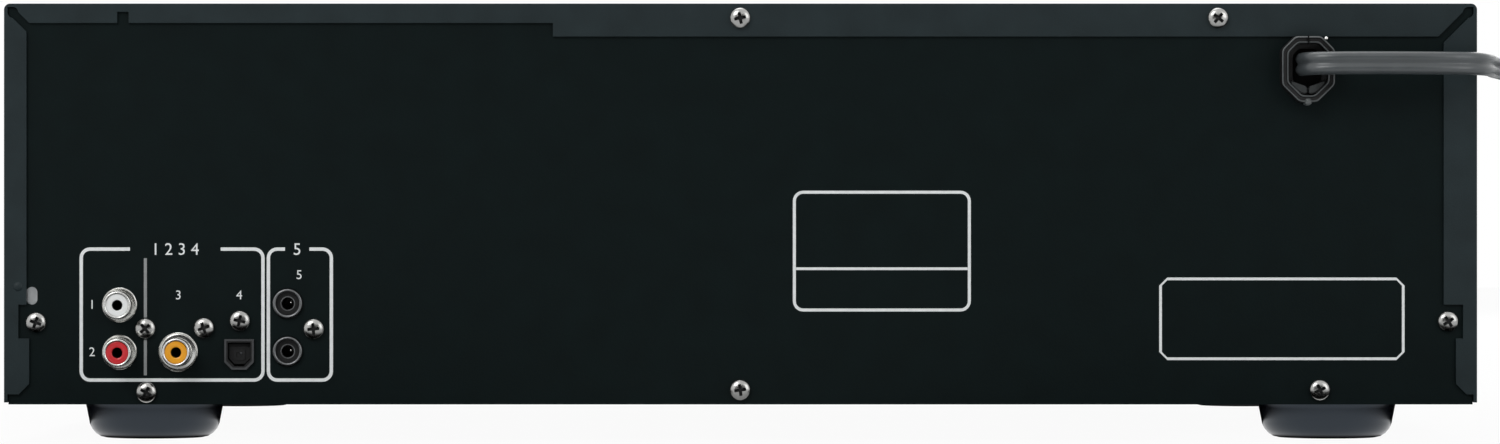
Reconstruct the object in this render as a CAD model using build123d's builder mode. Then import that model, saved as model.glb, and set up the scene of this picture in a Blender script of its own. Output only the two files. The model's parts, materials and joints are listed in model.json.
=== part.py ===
from build123d import *
import os
from math import acos, atan2, ceil, cos, degrees, hypot, pi, radians, sin, sqrt, tan

# A carousel disc changer for six discs. Lengths are in millimetres and angles in degrees.
# X runs to the right of someone at the front, Y to the back and Z up. The origin is on the surface
# that the feet stand on, under the middle of the case.

# Case
case_width = 435.0
case_height = 118.4
foot_height = 11.0
rear_face = 208.0
front_face = -206.0
front_depth = 20.0
cover_sheet = 1.0
base_sheet = 1.2
rear_sheet = 1.0
sheet_gap = 0.2
base_flange_height = 28.0

# Folded edges of the cover on the rear panel, measured on the photograph
top_flange_narrow = 5.7
top_flange_wide = 9.7
top_flange_step_x = 55.4
side_flange_left = 6.6
side_flange_right = 9.8
side_flange_left_low = 7.4
side_flange_right_low = 6.2
side_flange_left_waist = 4.2
side_flange_right_waist = 4.1
waist_top = 40.5
waist_bottom = 30.5
flange_foot = 17.1
flange_end = 14.0
mitre_gap = 1.7
slit_x = 182.4
slit_width = 3.4

# Feet
foot_x = 177.0
foot_rear_y = 168.0
foot_front_y = -150.0
foot_radius = 21.0
foot_waist_radius = 19.8
foot_rounding = 5.5

# Screws
screw_head_radius = 3.1
screw_head_height = 2.1
screw_shank_radius = 1.4
screw_shank_length = 6.0
screw_hole_radius = 1.6

# Phono and coaxial sockets
phono_left = (183.4, 40.4)
phono_right = (183.4, 26.4)
coaxial = (166.1, 26.5)
barrel_radius = 4.15
barrel_bore = 3.1
barrel_length = 8.5
barrel_base_radius = 5.15
coaxial_base_radius = 5.8
barrel_base_height = 1.2
pin_socket_radius = 1.5
insulator_set_back = 0.3

# Optical socket with its sprung shutter
optical = (148.1, 25.8)
optical_width = 8.2
optical_height = 8.5
optical_key = 2.0
optical_proud = 0.8
shutter_thickness = 0.8
shutter_swing_depth = 8.0

# Control sockets for a 3.5 mm plug
control_upper = (133.8, 40.8)
control_lower = (133.8, 26.7)
control_rim_radius = 4.35
control_bore = 1.8
control_proud = 1.0

# Cord bushing and cord
bushing = (-167.2, 109.9)
bushing_width = 15.8
bushing_height = 19.6
bushing_wall = 1.5
bushing_reach = 7.0
bushing_neck_depth = 9.0
cord_diameter = 6.8
cord_height = 111.4
cord_layer_gap = 0.6
cord_turn_gap = 0.5
coil_centre = (-308.0, 125.0)
coil_outer_radius = 50.0
coil_half_turns_in = 5
coil_half_turns_out = 5
cord_tail = 34.0
plug_length = 40.0
plug_width = 24.0
plug_nose_length = 14.0
blade_length = 17.0
blade_width = 6.3
blade_thickness = 1.5
blade_spacing = 12.7

# Heights of the mechanism above the surface under the feet
deck_top = 58.0
deck_sheet = 2.0
drawer_floor = 76.0
drawer_floor_thickness = 2.5
carousel_skirt_bottom = 81.0
carousel_underside = 82.8
small_disc_floor = 84.8
large_disc_floor = 86.3
carousel_top = 89.5
turntable_plane = 77.5
lift_travel = 14.0

# Carousel
carousel_y = 15.0
carousel_radius = 187.0
carousel_skirt = 2.0
pocket_count = 6
pocket_orbit = 123.5
large_pocket_radius = 60.6
small_pocket_radius = 40.6
slot_half_width = 29.0
slot_inner_radius = 101.0
hub_post_radius = 12.0
hub_clearance = 0.1
hub_boss_radius = 20.0
hub_cap_radius = 25.0
hub_cap_height = 3.0
ring_gear_teeth = 60
ring_gear_module = 2.0
ring_gear_height = 3.2

# Drawer
drawer_travel = 235.0
drawer_half_width = 190.0
drawer_wall = 1.6
drawer_wall_top = 88.0
drawer_straight_end = 130.0
drawer_front_end = -199.5
drawer_slot_half_width = 31.0
runner_reach = 6.0
runner_bottom = 79.5
runner_height = 3.5
runner_front = -182.0
glide_inner = 180.5
glide_outer = 184.0
glide_clearance = 0.25
rack_x = -110.0
rack_module = 2.0
rack_height = 5.6

# Front
front_wall = 2.5
door_half_width = 197.6
door_bottom = 70.3
door_top = 106.4
door_gap = 0.8
door_thickness = 5.0
window_half_width = 72.0
window_bottom = 40.0
window_top = 62.0
front_board_y = -176.0
board_thickness = 1.6
button_gap = 0.3
button_flange = 1.2
button_travel = 1.2
disc_button_z = 26.0
disc_button_pitch = 24.0
disc_button_size = (16.0, 6.0)
dial_x = 163.0
dial_z = 42.0
dial_radius = 17.0
dial_reach = 10.5
knob_x = -158.0
knob_z = 27.0
knob_radius = 7.5
knob_reach = 8.0
phones_x = -186.0
phones_z = 27.0
phones_bore = 3.2
phones_rim = 6.5

# Drives
gear_backlash = 0.4
loading_pinion_teeth = 14
loading_y = -150.0
loading_pulley_radius = 20.0
motor_pulley_radius = 5.5
loading_motor_x = -66.0
belt_size = 1.6
belt_clearance = 0.15
carousel_pinion_teeth = 12
carousel_wheel_teeth = 36
carousel_drive_angle = 35.0
carousel_motor_angle = 20.0
small_module = 1.0
motor_pinion_teeth = 10
motor_radius = 11.0
lift_gear_x = 41.0
lift_gear_y = 66.0
lift_pinion_teeth = 14
lift_wheel_teeth = 36
lift_motor_angle = -60.0
sled_module = 0.8
sled_pinion_teeth = 10

# Lift and traverse
spindle_y = carousel_y + pocket_orbit
lift_half_width = 27.0
lift_front = 106.0
lift_rear = 205.0
lift_plate_bottom = 60.0
lift_plate_thickness = 2.0
lift_wall_top = 66.0
lift_pin_radius = 1.5
lift_pin_height = 52.0
lift_pin_ys = (120.0, 172.0)
pin_clearance = 0.1
slider_travel = 25.0
cheek_inner = 29.0
cheek_thickness = 2.2
cheek_bottom = 45.0
cheek_top = 70.0
cheek_front = 84.0
cheek_rear = 200.5
slider_front = 56.0
slider_plate_bottom = 58.8
slider_plate_thickness = 4.2
guide_wall_inner = 32.4
guide_wall_thickness = 3.0
guide_wall_front = 108.0
disc_inner_read = 25.0
pickup_travel = 33.0
rod_x = 21.0
rod_radius = 1.5
rod_height = 68.0
turntable_radius = 15.0
turntable_cone_radius = 7.3
turntable_height = 3.4
clamper_radius = 17.0
disc_thickness = 1.2
bridge_underside = 104.0
bridge_sheet = 1.4
bridge_half_depth = 20.0

# Places worked out from the values above
case_bottom = foot_height
case_top = foot_height + case_height
half_width = case_width / 2
cover_inner = half_width - cover_sheet
base_half_width = cover_inner - sheet_gap
rear_inner = rear_face - rear_sheet
flange_face = rear_face + cover_sheet
shell_front = front_face + front_depth
base_floor = case_bottom + base_sheet
drawer_floor_top = drawer_floor + drawer_floor_thickness
cord_radius = cord_diameter / 2
running_gap = 0.3


def spur_outline(teeth, module, first_tooth, flank_points):
    """Points of a spur gear with involute flanks; one tooth is centred on the angle first_tooth."""
    pitch = teeth * module / 2
    base = pitch * cos(radians(20))
    tip = pitch + 0.85 * module
    root = pitch - 1.15 * module
    start = max(base, root)

    def half_angle(radius):
        pressure = acos(min(1.0, base / radius))
        rolled = tan(pressure) - pressure
        at_pitch = tan(radians(20)) - radians(20)
        return pi / (2 * teeth) - gear_backlash / (2 * pitch) + at_pitch - rolled

    radii = [start + (tip - start) * i / flank_points for i in range(flank_points + 1)]
    if root < start - 0.05:
        radii.insert(0, root)
    points = []
    for tooth in range(teeth):
        middle = radians(first_tooth) + 2 * pi * tooth / teeth
        for radius in radii:
            angle = middle - half_angle(max(radius, start))
            points.append((radius * cos(angle), radius * sin(angle)))
        for radius in reversed(radii):
            angle = middle + half_angle(max(radius, start))
            points.append((radius * cos(angle), radius * sin(angle)))
    return points


def spur(teeth, module, first_tooth, flank_points=2):
    """Sketch face of a spur gear, added to the sketch that is being made."""
    with BuildLine() as outline:
        Polyline(spur_outline(teeth, module, first_tooth, flank_points), close=True)
    make_face(outline.edges())


def rack(module, tooth_count, back, gap_at, side):
    """Face of a rack along local Y: pitch line on X = 0, a gap centred on gap_at, teeth towards side."""
    pitch = pi * module
    tip = 0.85 * module
    root = 1.15 * module
    half = pitch / 4 - gear_backlash / 2
    slope = tan(radians(20))
    low = gap_at - pitch * tooth_count / 2
    points = [(-side * back, low), (-side * root, low)]
    for tooth in range(tooth_count):
        middle = low + pitch * (tooth + 0.5)
        points.append((-side * root, middle - half - root * slope))
        points.append((side * tip, middle - half + tip * slope))
        points.append((side * tip, middle + half - tip * slope))
        points.append((-side * root, middle + half + root * slope))
    points.append((-side * root, low + pitch * tooth_count))
    points.append((-side * back, low + pitch * tooth_count))
    with BuildLine() as outline:
        Polyline(points, close=True)
    make_face(outline.edges())


def rear_plane(offset=0.0):
    """Plane on the rear face, or offset behind it: local X is -X of the case and local Y is up."""
    return Plane(origin=(0, rear_face + offset, 0), x_dir=(-1, 0, 0), z_dir=(0, 1, 0))


def rear_spot(place, offset=0.0):
    """Plane like rear_plane with its origin at a place given as (x, z)."""
    return Plane(origin=(place[0], rear_face + offset, place[1]), x_dir=(-1, 0, 0), z_dir=(0, 1, 0))


def front_plane(y):
    """Plane at depth y that looks forward: local X is X of the case and local Y is up."""
    return Plane(origin=(0, y, 0), x_dir=(1, 0, 0), z_dir=(0, -1, 0))


def seen_from_rear(place):
    """Sketch position on rear_plane of a place given as (x, z) in the case."""
    return (-place[0], place[1])


def finish(builder, name):
    """Label the finished piece and write its file."""
    builder.part.label = name
    export_step(builder.part, "parts/" + name + ".step")


os.makedirs("parts", exist_ok=True)

# Top cover: folded sheet with narrow flanges over the rear panel
cover_bottom = case_bottom + 0.6
cover_bend = 1.8
corner_relief = 1.6
flange_bend = 1.4
side_screw_z = 25.0
side_screw_ys = (-120.0, 140.0)
cover_screws = [(0.1, 125.1), (-141.0, 125.1)]
top_edge_left = half_width - mitre_gap
step_low = case_top - top_flange_wide
step_high = case_top - top_flange_narrow


def side_flange(side, width, waist, low_width):
    """Outline of one side flange of the cover, from its mitred top to its chamfered foot."""
    chamfer = flange_foot - flange_end
    inner = half_width - width
    low = half_width - low_width
    places = [
        (half_width, case_top - mitre_gap),
        (inner, case_top - mitre_gap - width),
        (inner, waist_top),
        (half_width - waist, waist_top),
        (half_width - waist, waist_bottom),
        (low, waist_bottom),
        (low, flange_foot),
        (low + chamfer, flange_end),
        (half_width, flange_end),
    ]
    with BuildLine() as outline:
        Polyline([seen_from_rear((side * x, z)) for x, z in places], close=True)
    make_face(outline.edges())


with BuildPart() as top_cover:
    with BuildSketch(rear_plane(shell_front - rear_face)):
        with Locations((0, (cover_bottom + case_top) / 2)):
            Rectangle(case_width, case_top - cover_bottom)
        fillet(vertices().group_by(Axis.Y)[-1], cover_bend)
        with Locations((0, (cover_bottom + case_top) / 2 - cover_sheet)):
            Rectangle(2 * cover_inner, case_top - cover_bottom, mode=Mode.SUBTRACT)
    extrude(amount=flange_face - shell_front)
    with BuildSketch(rear_plane()):
        slit_half = slit_width / 2
        top_places = [
            (top_edge_left, case_top),
            (top_edge_left - top_flange_narrow, step_high),
            (slit_x + slit_half, step_high),
            (slit_x + slit_half, case_top - 2.4),
            (slit_x - slit_half, case_top - 2.4),
            (slit_x - slit_half, step_high),
            (top_flange_step_x, step_high),
            (top_flange_step_x, step_low),
            (top_flange_wide - top_edge_left, step_low),
            (-top_edge_left, case_top),
        ]
        with BuildLine():
            Polyline([seen_from_rear(place) for place in top_places], close=True)
        make_face()
        side_flange(1, side_flange_left, side_flange_left_waist, side_flange_left_low)
        side_flange(-1, side_flange_right, side_flange_right_waist, side_flange_right_low)
        relief = half_width - cover_sheet - corner_relief
        with Locations((relief, case_top - cover_sheet - corner_relief),
                       (-relief, case_top - cover_sheet - corner_relief)):
            Circle(corner_relief, mode=Mode.SUBTRACT)
    extrude(amount=cover_sheet)
    with Locations(*[rear_plane(cover_sheet) * Location((-x, z)) for x, z in cover_screws]):
        Hole(screw_hole_radius, depth=2 * cover_sheet)
    for side in (1, -1):
        side_wall = Plane(origin=(side * half_width, 0, 0), x_dir=(0, 1, 0), z_dir=(side, 0, 0))
        with Locations(*[side_wall * Location((y, side * side_screw_z)) for y in side_screw_ys]):
            Hole(screw_hole_radius, depth=2 * cover_sheet)
finish(top_cover, "top_cover")

# Bottom plate: floor with upturned side and rear flanges, board stand-offs and vents
panel_screws = [(208.1, 35.2), (-209.0, 35.5), (0.1, 15.3), (175.5, 14.6), (-171.1, 15.3)]
socket_screws = [(175.8, 33.4), (158.5, 33.6), (147.9, 35.7), (126.1, 33.3)]
foot_places = [(x, y) for x in (-foot_x, foot_x) for y in (foot_front_y, foot_rear_y)]
rear_flange_top = 18.3
tab_width = 13.0
tab_bottom = 28.0
tab_top = 48.0
stand_off_radius = 3.0
board_left, board_right = 62.0, 200.0
board_front, board_rear = 62.0, 204.5
board_bottom = 18.5
board_inset = 6.0
deck_post_places = [(x, y) for x in (-128.0, 128.0) for y in (-150.0, 40.0)] + [(-46.0, 186.0), (46.0, 186.0)]
deck_post_radius = 4.5
board_corners = [(x, y) for x in (board_left + board_inset, board_right - board_inset)
                 for y in (board_front + board_inset, board_rear - board_inset - 8)]

with BuildPart() as bottom_plate:
    with BuildSketch(Plane.XY.offset(case_bottom)):
        with Locations((0, (shell_front + rear_inner) / 2)):
            Rectangle(2 * base_half_width, rear_inner - shell_front)
    extrude(amount=base_sheet)
    for side in (1, -1):
        with BuildSketch(Plane.XY.offset(case_bottom)):
            with Locations((side * (base_half_width - base_sheet / 2), (shell_front + rear_inner) / 2)):
                Rectangle(base_sheet, rear_inner - shell_front)
        extrude(amount=base_flange_height)
    with BuildSketch(rear_plane(-rear_sheet - base_sheet)):
        with Locations((0, (case_bottom + rear_flange_top) / 2)):
            Rectangle(2 * base_half_width, rear_flange_top - case_bottom)
        for side in (1, -1):
            with Locations((side * (base_half_width - tab_width / 2), (tab_bottom + tab_top) / 2)):
                Rectangle(tab_width, tab_top - tab_bottom)
    extrude(amount=base_sheet)
    with BuildSketch(Plane.XY.offset(base_floor)):
        with Locations(*board_corners):
            Circle(stand_off_radius)
    extrude(amount=board_bottom - base_floor)
    with Locations(*[rear_plane(-rear_sheet) * Location((-x, z)) for x, z in panel_screws]):
        Hole(screw_hole_radius, depth=2 * base_sheet)
    for side in (1, -1):
        flange = Plane(origin=(side * base_half_width, 0, 0), x_dir=(0, 1, 0), z_dir=(side, 0, 0))
        with Locations(*[flange * Location((y, side * side_screw_z)) for y in side_screw_ys]):
            Hole(screw_hole_radius, depth=2 * base_sheet)
    with Locations(*[Location((x, y, base_floor)) for x, y in foot_places]):
        Hole(screw_hole_radius, depth=2 * base_sheet)
    with BuildSketch(Plane.XY.offset(case_bottom)):
        with Locations((0, -90), (0, 0)):
            with GridLocations(12, 0, 5, 1):
                SlotOverall(30, 3.5, rotation=90)
    extrude(amount=base_sheet, mode=Mode.SUBTRACT)
finish(bottom_plate, "bottom_plate")

# Rear panel: flat sheet with its top edge folded forward under the cover
panel_top = case_top - cover_sheet - sheet_gap
panel_fold_depth = 14.0
inspection_hole = (209.4, 43.1)
inspection_size = (5.3, 3.3)
socket_clearance = 0.25
bushing_neck_width = 12.4
bushing_neck_height = 15.6
bushing_chamfer_top = 4.0
bushing_chamfer_low = 6.2


def bushing_outline(width, height, scale=1.0):
    """Eight-sided outline of the cord bushing, with longer chamfers at its lower corners."""
    top_cut = bushing_chamfer_top * scale
    low_cut = bushing_chamfer_low * scale
    x = width / 2
    z = height / 2
    corners = [
        (x - top_cut, z),
        (x, z - top_cut),
        (x, low_cut - z),
        (x - low_cut, -z),
        (low_cut - x, -z),
        (-x, low_cut - z),
        (-x, z - top_cut),
        (top_cut - x, z),
    ]
    with BuildLine() as outline:
        Polyline(corners, close=True)
    make_face(outline.edges())


def optical_outline(width, height):
    """Square outline of the optical socket with its two lower corners cut off."""
    x = width / 2
    z = height / 2
    corners = [(-x, z), (x, z), (x, optical_key - z), (x - optical_key, -z),
               (optical_key - x, -z), (-x, optical_key - z)]
    with BuildLine() as outline:
        Polyline(corners, close=True)
    make_face(outline.edges())


with BuildPart() as rear_panel:
    with BuildSketch(rear_plane(-rear_sheet)):
        with Locations((0, (case_bottom + panel_top) / 2)):
            Rectangle(2 * base_half_width, panel_top - case_bottom)
        with Locations(seen_from_rear(phono_left), seen_from_rear(phono_right), seen_from_rear(coaxial)):
            Circle(barrel_radius + socket_clearance, mode=Mode.SUBTRACT)
        with Locations(seen_from_rear(control_upper), seen_from_rear(control_lower)):
            Circle(control_rim_radius + socket_clearance, mode=Mode.SUBTRACT)
        with Locations(*[seen_from_rear(place) for place in panel_screws + socket_screws + cover_screws]):
            Circle(screw_hole_radius, mode=Mode.SUBTRACT)
        with Locations(seen_from_rear(inspection_hole)):
            SlotOverall(*inspection_size, rotation=90, mode=Mode.SUBTRACT)
    extrude(amount=rear_sheet)
    with BuildSketch(rear_spot(optical, -rear_sheet)):
        optical_outline(optical_width + 2 * socket_clearance, optical_height + 2 * socket_clearance)
    extrude(amount=rear_sheet, mode=Mode.SUBTRACT)
    with BuildSketch(rear_spot(bushing, -rear_sheet)):
        bushing_outline(bushing_neck_width + 2 * socket_clearance, bushing_neck_height + 2 * socket_clearance, 0.7)
    extrude(amount=rear_sheet, mode=Mode.SUBTRACT)
    with BuildSketch(Plane.XY.offset(panel_top - rear_sheet)):
        with Locations((0, rear_inner - panel_fold_depth / 2)):
            Rectangle(2 * base_half_width - 8, panel_fold_depth)
    extrude(amount=rear_sheet)
finish(rear_panel, "rear_panel")

# Feet: round, with a rolled lower edge and a screw recess underneath
foot_recess_radius = 8.0
foot_recess_depth = 8.0
with BuildPart() as feet:
    with BuildSketch(Plane.XZ):
        with BuildLine():
            Polyline((screw_hole_radius, foot_recess_depth), (foot_recess_radius, foot_recess_depth),
                     (foot_recess_radius, 0), (foot_waist_radius - foot_rounding, 0))
            RadiusArc((foot_waist_radius - foot_rounding, 0), (foot_waist_radius, foot_rounding), -foot_rounding)
            Polyline((foot_waist_radius, foot_rounding), (foot_radius, foot_height),
                     (screw_hole_radius, foot_height), (screw_hole_radius, foot_recess_depth))
        make_face()
    revolve(axis=Axis.Z)
foot_shape = feet.part
with BuildPart() as feet:
    with Locations(*[(x, y, 0) for x, y in foot_places]):
        add(foot_shape)
finish(feet, "feet")

# Screws: pan heads with plain shanks, one for every hole in the case
with BuildPart(mode=Mode.PRIVATE) as screw:
    with BuildSketch(Plane.XZ):
        with BuildLine():
            Polyline((0, -screw_shank_length), (screw_shank_radius, -screw_shank_length),
                     (screw_shank_radius, 0), (screw_head_radius, 0), (screw_head_radius, 0.9),
                     (screw_head_radius * 0.75, 1.7), (screw_head_radius * 0.4, screw_head_height),
                     (0, screw_head_height), (0, -screw_shank_length))
        make_face()
    revolve(axis=Axis.Z)
seats = [rear_spot(place, cover_sheet) for place in cover_screws]
seats += [rear_spot(place) for place in panel_screws + socket_screws]
seats += [Plane(origin=(side * half_width, y, side_screw_z), z_dir=(side, 0, 0))
          for side in (1, -1) for y in side_screw_ys]
seats += [Plane(origin=(x, y, foot_recess_depth), z_dir=(0, 0, -1)) for x, y in foot_places]
with BuildPart() as case_screws:
    for seat in seats:
        with Locations(seat):
            add(screw.part)
finish(case_screws, "case_screws")

# Sockets behind the rear panel, each block standing on the main board
block_depth = 17.0
block_bottom = board_bottom + board_thickness
block_bore_depth = 5.0
screw_pilot_depth = 7.0


def socket_block(left, right, top, bores, bore_radius, screw_place):
    """Moulded block against the panel with its bores and the pilot hole of its screw."""
    with BuildPart(mode=Mode.PRIVATE) as block:
        with BuildSketch(rear_plane(-rear_sheet)):
            with Locations((-(left + right) / 2, (block_bottom + top) / 2)):
                Rectangle(left - right, top - block_bottom)
            with Locations(*[seen_from_rear(place) for place in bores]):
                Circle(bore_radius, mode=Mode.SUBTRACT)
            with Locations(seen_from_rear(screw_place)):
                Circle(screw_hole_radius, mode=Mode.SUBTRACT)
        extrude(amount=-screw_pilot_depth)
        with BuildSketch(rear_plane(-rear_sheet - screw_pilot_depth)):
            with Locations((-(left + right) / 2, (block_bottom + top) / 2 - 1)):
                Rectangle(left - right - 2, top - block_bottom - 2)
        extrude(amount=screw_pilot_depth - block_depth)
    return block.part


with BuildPart() as socket_blocks:
    add(socket_block(190.8, 172.6, 48.0, [phono_left, phono_right], barrel_radius + socket_clearance,
                     socket_screws[0]))
    add(socket_block(172.3, 154.6, 38.5, [coaxial], barrel_radius + socket_clearance, socket_screws[1]))
finish(socket_blocks, "socket_blocks")

barrel_tail = rear_sheet + block_bore_depth
with BuildPart() as socket_barrels:
    for place, base in ((phono_left, barrel_base_radius), (phono_right, barrel_base_radius),
                        (coaxial, coaxial_base_radius)):
        with BuildSketch(rear_spot(place, -barrel_tail)):
            Circle(barrel_radius)
            Circle(barrel_bore, mode=Mode.SUBTRACT)
        extrude(amount=barrel_tail + barrel_length)
        with BuildSketch(rear_spot(place)):
            Circle(base)
            Circle(barrel_bore, mode=Mode.SUBTRACT)
        extrude(amount=barrel_base_height)
finish(socket_barrels, "socket_barrels")

for name, place in (("white_insulator", phono_left), ("red_insulator", phono_right),
                    ("orange_insulator", coaxial)):
    with BuildPart() as insulator:
        with BuildSketch(rear_spot(place, -barrel_tail)):
            Circle(barrel_bore - 0.05)
        extrude(amount=barrel_tail + barrel_length - insulator_set_back)
        with Locations(rear_spot(place, barrel_length - insulator_set_back)):
            Hole(pin_socket_radius, depth=8)
    finish(insulator, name)

# Optical socket: block, nose through the panel and the cavity that the shutter closes
optical_wall = 0.75
optical_depth = 11.0
shutter_width = optical_width - 2 * optical_wall - 0.5
shutter_barrel_radius = 0.6
shutter_pin_radius = 0.35
shutter_pin_reach = 0.7
shutter_pivot = (rear_face - 1.6, optical[1] + optical_height / 2 - optical_wall - 0.75)
with BuildPart() as optical_jack:
    add(socket_block(153.8, 141.6, 39.8, [], 1, socket_screws[2]))
    with BuildSketch(rear_spot(optical, -rear_sheet)):
        optical_outline(optical_width, optical_height)
    extrude(amount=rear_sheet + optical_proud)
    with BuildSketch(rear_spot(optical, optical_proud)):
        optical_outline(optical_width - 2 * optical_wall, optical_height - 2 * optical_wall)
    extrude(amount=-optical_depth, mode=Mode.SUBTRACT)
    with BuildSketch(Plane(origin=(optical[0], *shutter_pivot), x_dir=(0, 1, 0), z_dir=(1, 0, 0))):
        Circle(shutter_pin_radius + 0.08)
    extrude(amount=shutter_width / 2 + shutter_pin_reach + 0.1, both=True, mode=Mode.SUBTRACT)
finish(optical_jack, "optical_jack")

shutter_height = optical_height - 2 * optical_wall - 1.0
with BuildPart() as optical_shutter:
    with BuildSketch(Plane(origin=(optical[0], shutter_pivot[0], shutter_pivot[1]),
                           x_dir=(-1, 0, 0), z_dir=(0, 1, 0)).offset(-shutter_thickness / 2)):
        with Locations((0, shutter_thickness / 2 - shutter_height / 2)):
            Rectangle(shutter_width, shutter_height)
        chamfer(vertices().group_by(Axis.Y)[0], optical_key - 0.4)
    extrude(amount=shutter_thickness)
    with BuildSketch(Plane(origin=(optical[0], *shutter_pivot), x_dir=(0, 1, 0), z_dir=(1, 0, 0))):
        Circle(shutter_barrel_radius)
    extrude(amount=shutter_width / 2, both=True)
    with BuildSketch(Plane(origin=(optical[0], *shutter_pivot), x_dir=(0, 1, 0), z_dir=(1, 0, 0))):
        Circle(shutter_pin_radius)
    extrude(amount=shutter_width / 2 + shutter_pin_reach, both=True)
finish(optical_shutter, "optical_shutter")

with BuildPart() as control_jacks:
    add(socket_block(138.9, 122.4, 46.5, [], 1, socket_screws[3]))
    for place in (control_upper, control_lower):
        with BuildSketch(rear_spot(place, -rear_sheet)):
            Circle(control_rim_radius)
        extrude(amount=rear_sheet + control_proud)
        with Locations(rear_spot(place, control_proud)):
            CounterBoreHole(control_bore, control_rim_radius - 0.9, 1.3, depth=15)
finish(control_jacks, "control_jacks")

# Cord bushing: eight-sided collar, neck through the panel and a lip behind it
cord_exit = (-165.5, cord_height)
collar_floor = 2.5
with BuildPart() as strain_relief:
    with BuildSketch(rear_spot(bushing)):
        bushing_outline(bushing_width, bushing_height)
        with Locations((0, -bushing_height / 2)):
            Circle(1.1)
    extrude(amount=bushing_reach)
    with BuildSketch(rear_spot(bushing, bushing_reach)):
        bushing_outline(bushing_width - 2 * bushing_wall, bushing_height - 2 * bushing_wall, 0.8)
    extrude(amount=collar_floor - bushing_reach, mode=Mode.SUBTRACT)
    with BuildSketch(rear_spot(bushing, -rear_sheet)):
        bushing_outline(bushing_neck_width, bushing_neck_height, 0.7)
    extrude(amount=rear_sheet)
    with BuildSketch(rear_spot(bushing, -rear_sheet)):
        bushing_outline(bushing_neck_width + 2, bushing_neck_height + 2, 0.8)
    extrude(amount=rear_sheet - bushing_neck_depth, taper=8)
finish(strain_relief, "strain_relief")

# Mains cord. The lead's points are chosen by hand; each arc is as large as its two runs allow.
cord_floor = cord_radius + 0.05
lead_start = rear_face + collar_floor
coil_x, coil_y = coil_centre
lead_points = [
    (cord_exit[0], lead_start, cord_height),
    (cord_exit[0], 217.6, cord_height),
    (-170.6, 222.4, cord_height + 0.1),
    (-184.0, 222.7, cord_height + 0.2),
    (-206.0, 222.4, cord_height + 0.1),
    (-217.0, 219.5, cord_height),
    (-221.6, 209.0, cord_height - 0.1),
    (-223.2, 196.0, cord_height - 0.2),
    (-228.0, 182.0, cord_height - 0.4),
    (-239.5, 171.5, 107.0),
    (-252.5, 167.0, 92.0),
    (-260.5, 168.0, 71.0),
    (-264.5, 172.5, 49.0),
    (-264.5, 175.0, 28.0),
    (-262.0, 169.5, 12.0),
    (-258.4, 156.0, 4.6),
    (coil_x + coil_outer_radius, 143.0, cord_floor),
    (coil_x + coil_outer_radius, coil_y + cord_diameter, cord_floor),
]


def corner_radii(points):
    """Largest even arc for each corner of a route: 0.45 of its shorter run over tan of half the turn."""
    radii = []
    for before, corner, after in zip(points, points[1:], points[2:]):
        coming = Vector(*corner) - Vector(*before)
        going = Vector(*after) - Vector(*corner)
        turn = coming.get_angle(going)
        radii.append(0.45 * min(coming.length, going.length) / tan(radians(turn / 2)))
    return radii


lead_radii = corner_radii(lead_points)
print("cord lead radii", [round(radius, 1) for radius in lead_radii])
with BuildPart() as cord_lead:
    with BuildLine() as lead_path:
        FilletPolyline(*lead_points, radius=lead_radii)
    with BuildSketch(Plane(origin=lead_points[0], z_dir=(0, 1, 0))):
        Circle(cord_radius)
    sweep()
lead_length = sum(edge.length for edge in lead_path.edges())
print("cord lead length", round(lead_length, 1), "volume over section times length",
      round(cord_lead.part.volume / (pi * cord_radius ** 2 * lead_length), 4))
finish(cord_lead, "cord_lead")

# Coil: half turns whose centres change sides, in on the floor, up in one half turn, out on top
turn_pitch = cord_diameter + cord_turn_gap
layer_pitch = cord_diameter + cord_layer_gap
coil_radii = [coil_outer_radius - turn_pitch / 2 * i for i in range(coil_half_turns_in)]
climb_radius = coil_outer_radius - turn_pitch / 2 * coil_half_turns_in
with BuildPart() as cord_coil:
    with BuildLine() as coil_path:
        place = Vector(coil_x + coil_outer_radius, coil_y, cord_floor)
        heading = Vector(0, -1, 0)
        Line(place + Vector(0, cord_diameter, 0), place)
        side = -1
        for radius in coil_radii:
            target = place + Vector(side * 2 * radius, 0, 0)
            TangentArc(place, target, tangent=heading)
            place, heading, side = target, -heading, -side
        half_rise = layer_pitch / 2
        crest = place + Vector(side * climb_radius, 0, half_rise)
        crest += heading * sqrt(climb_radius ** 2 + half_rise ** 2)
        first_climb = TangentArc(place, crest, tangent=heading)
        place += Vector(side * 2 * climb_radius, 0, layer_pitch)
        TangentArc(crest, place, tangent=first_climb % 1)
        heading, side = -heading, -side
        for radius in reversed(coil_radii[-coil_half_turns_out:]):
            target = place + Vector(side * 2 * radius, 0, 0)
            TangentArc(place, target, tangent=heading)
            place, heading, side = target, -heading, -side
        plug_start = place + heading * cord_tail
        Line(place, plug_start)
    with BuildSketch(Plane(origin=lead_points[-1], z_dir=(0, -1, 0))):
        Circle(cord_radius)
    sweep()
coil_length = sum(edge.length for edge in coil_path.edges())
coil_wire = Wire(coil_path.edges())
samples = [(coil_wire.position_at(i / 700), i / 700 * coil_length) for i in range(701)]
least_gap = min((a - b).length for i, (a, start) in enumerate(samples) for b, end in samples[i + 1:]
                if end - start > 4 * cord_diameter) - cord_diameter
print("cord coil length", round(coil_length, 1), "least gap to itself", round(least_gap, 2),
      "volume over section times length",
      round(cord_coil.part.volume / (pi * cord_radius ** 2 * coil_length), 4))
finish(cord_coil, "cord_coil")

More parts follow.
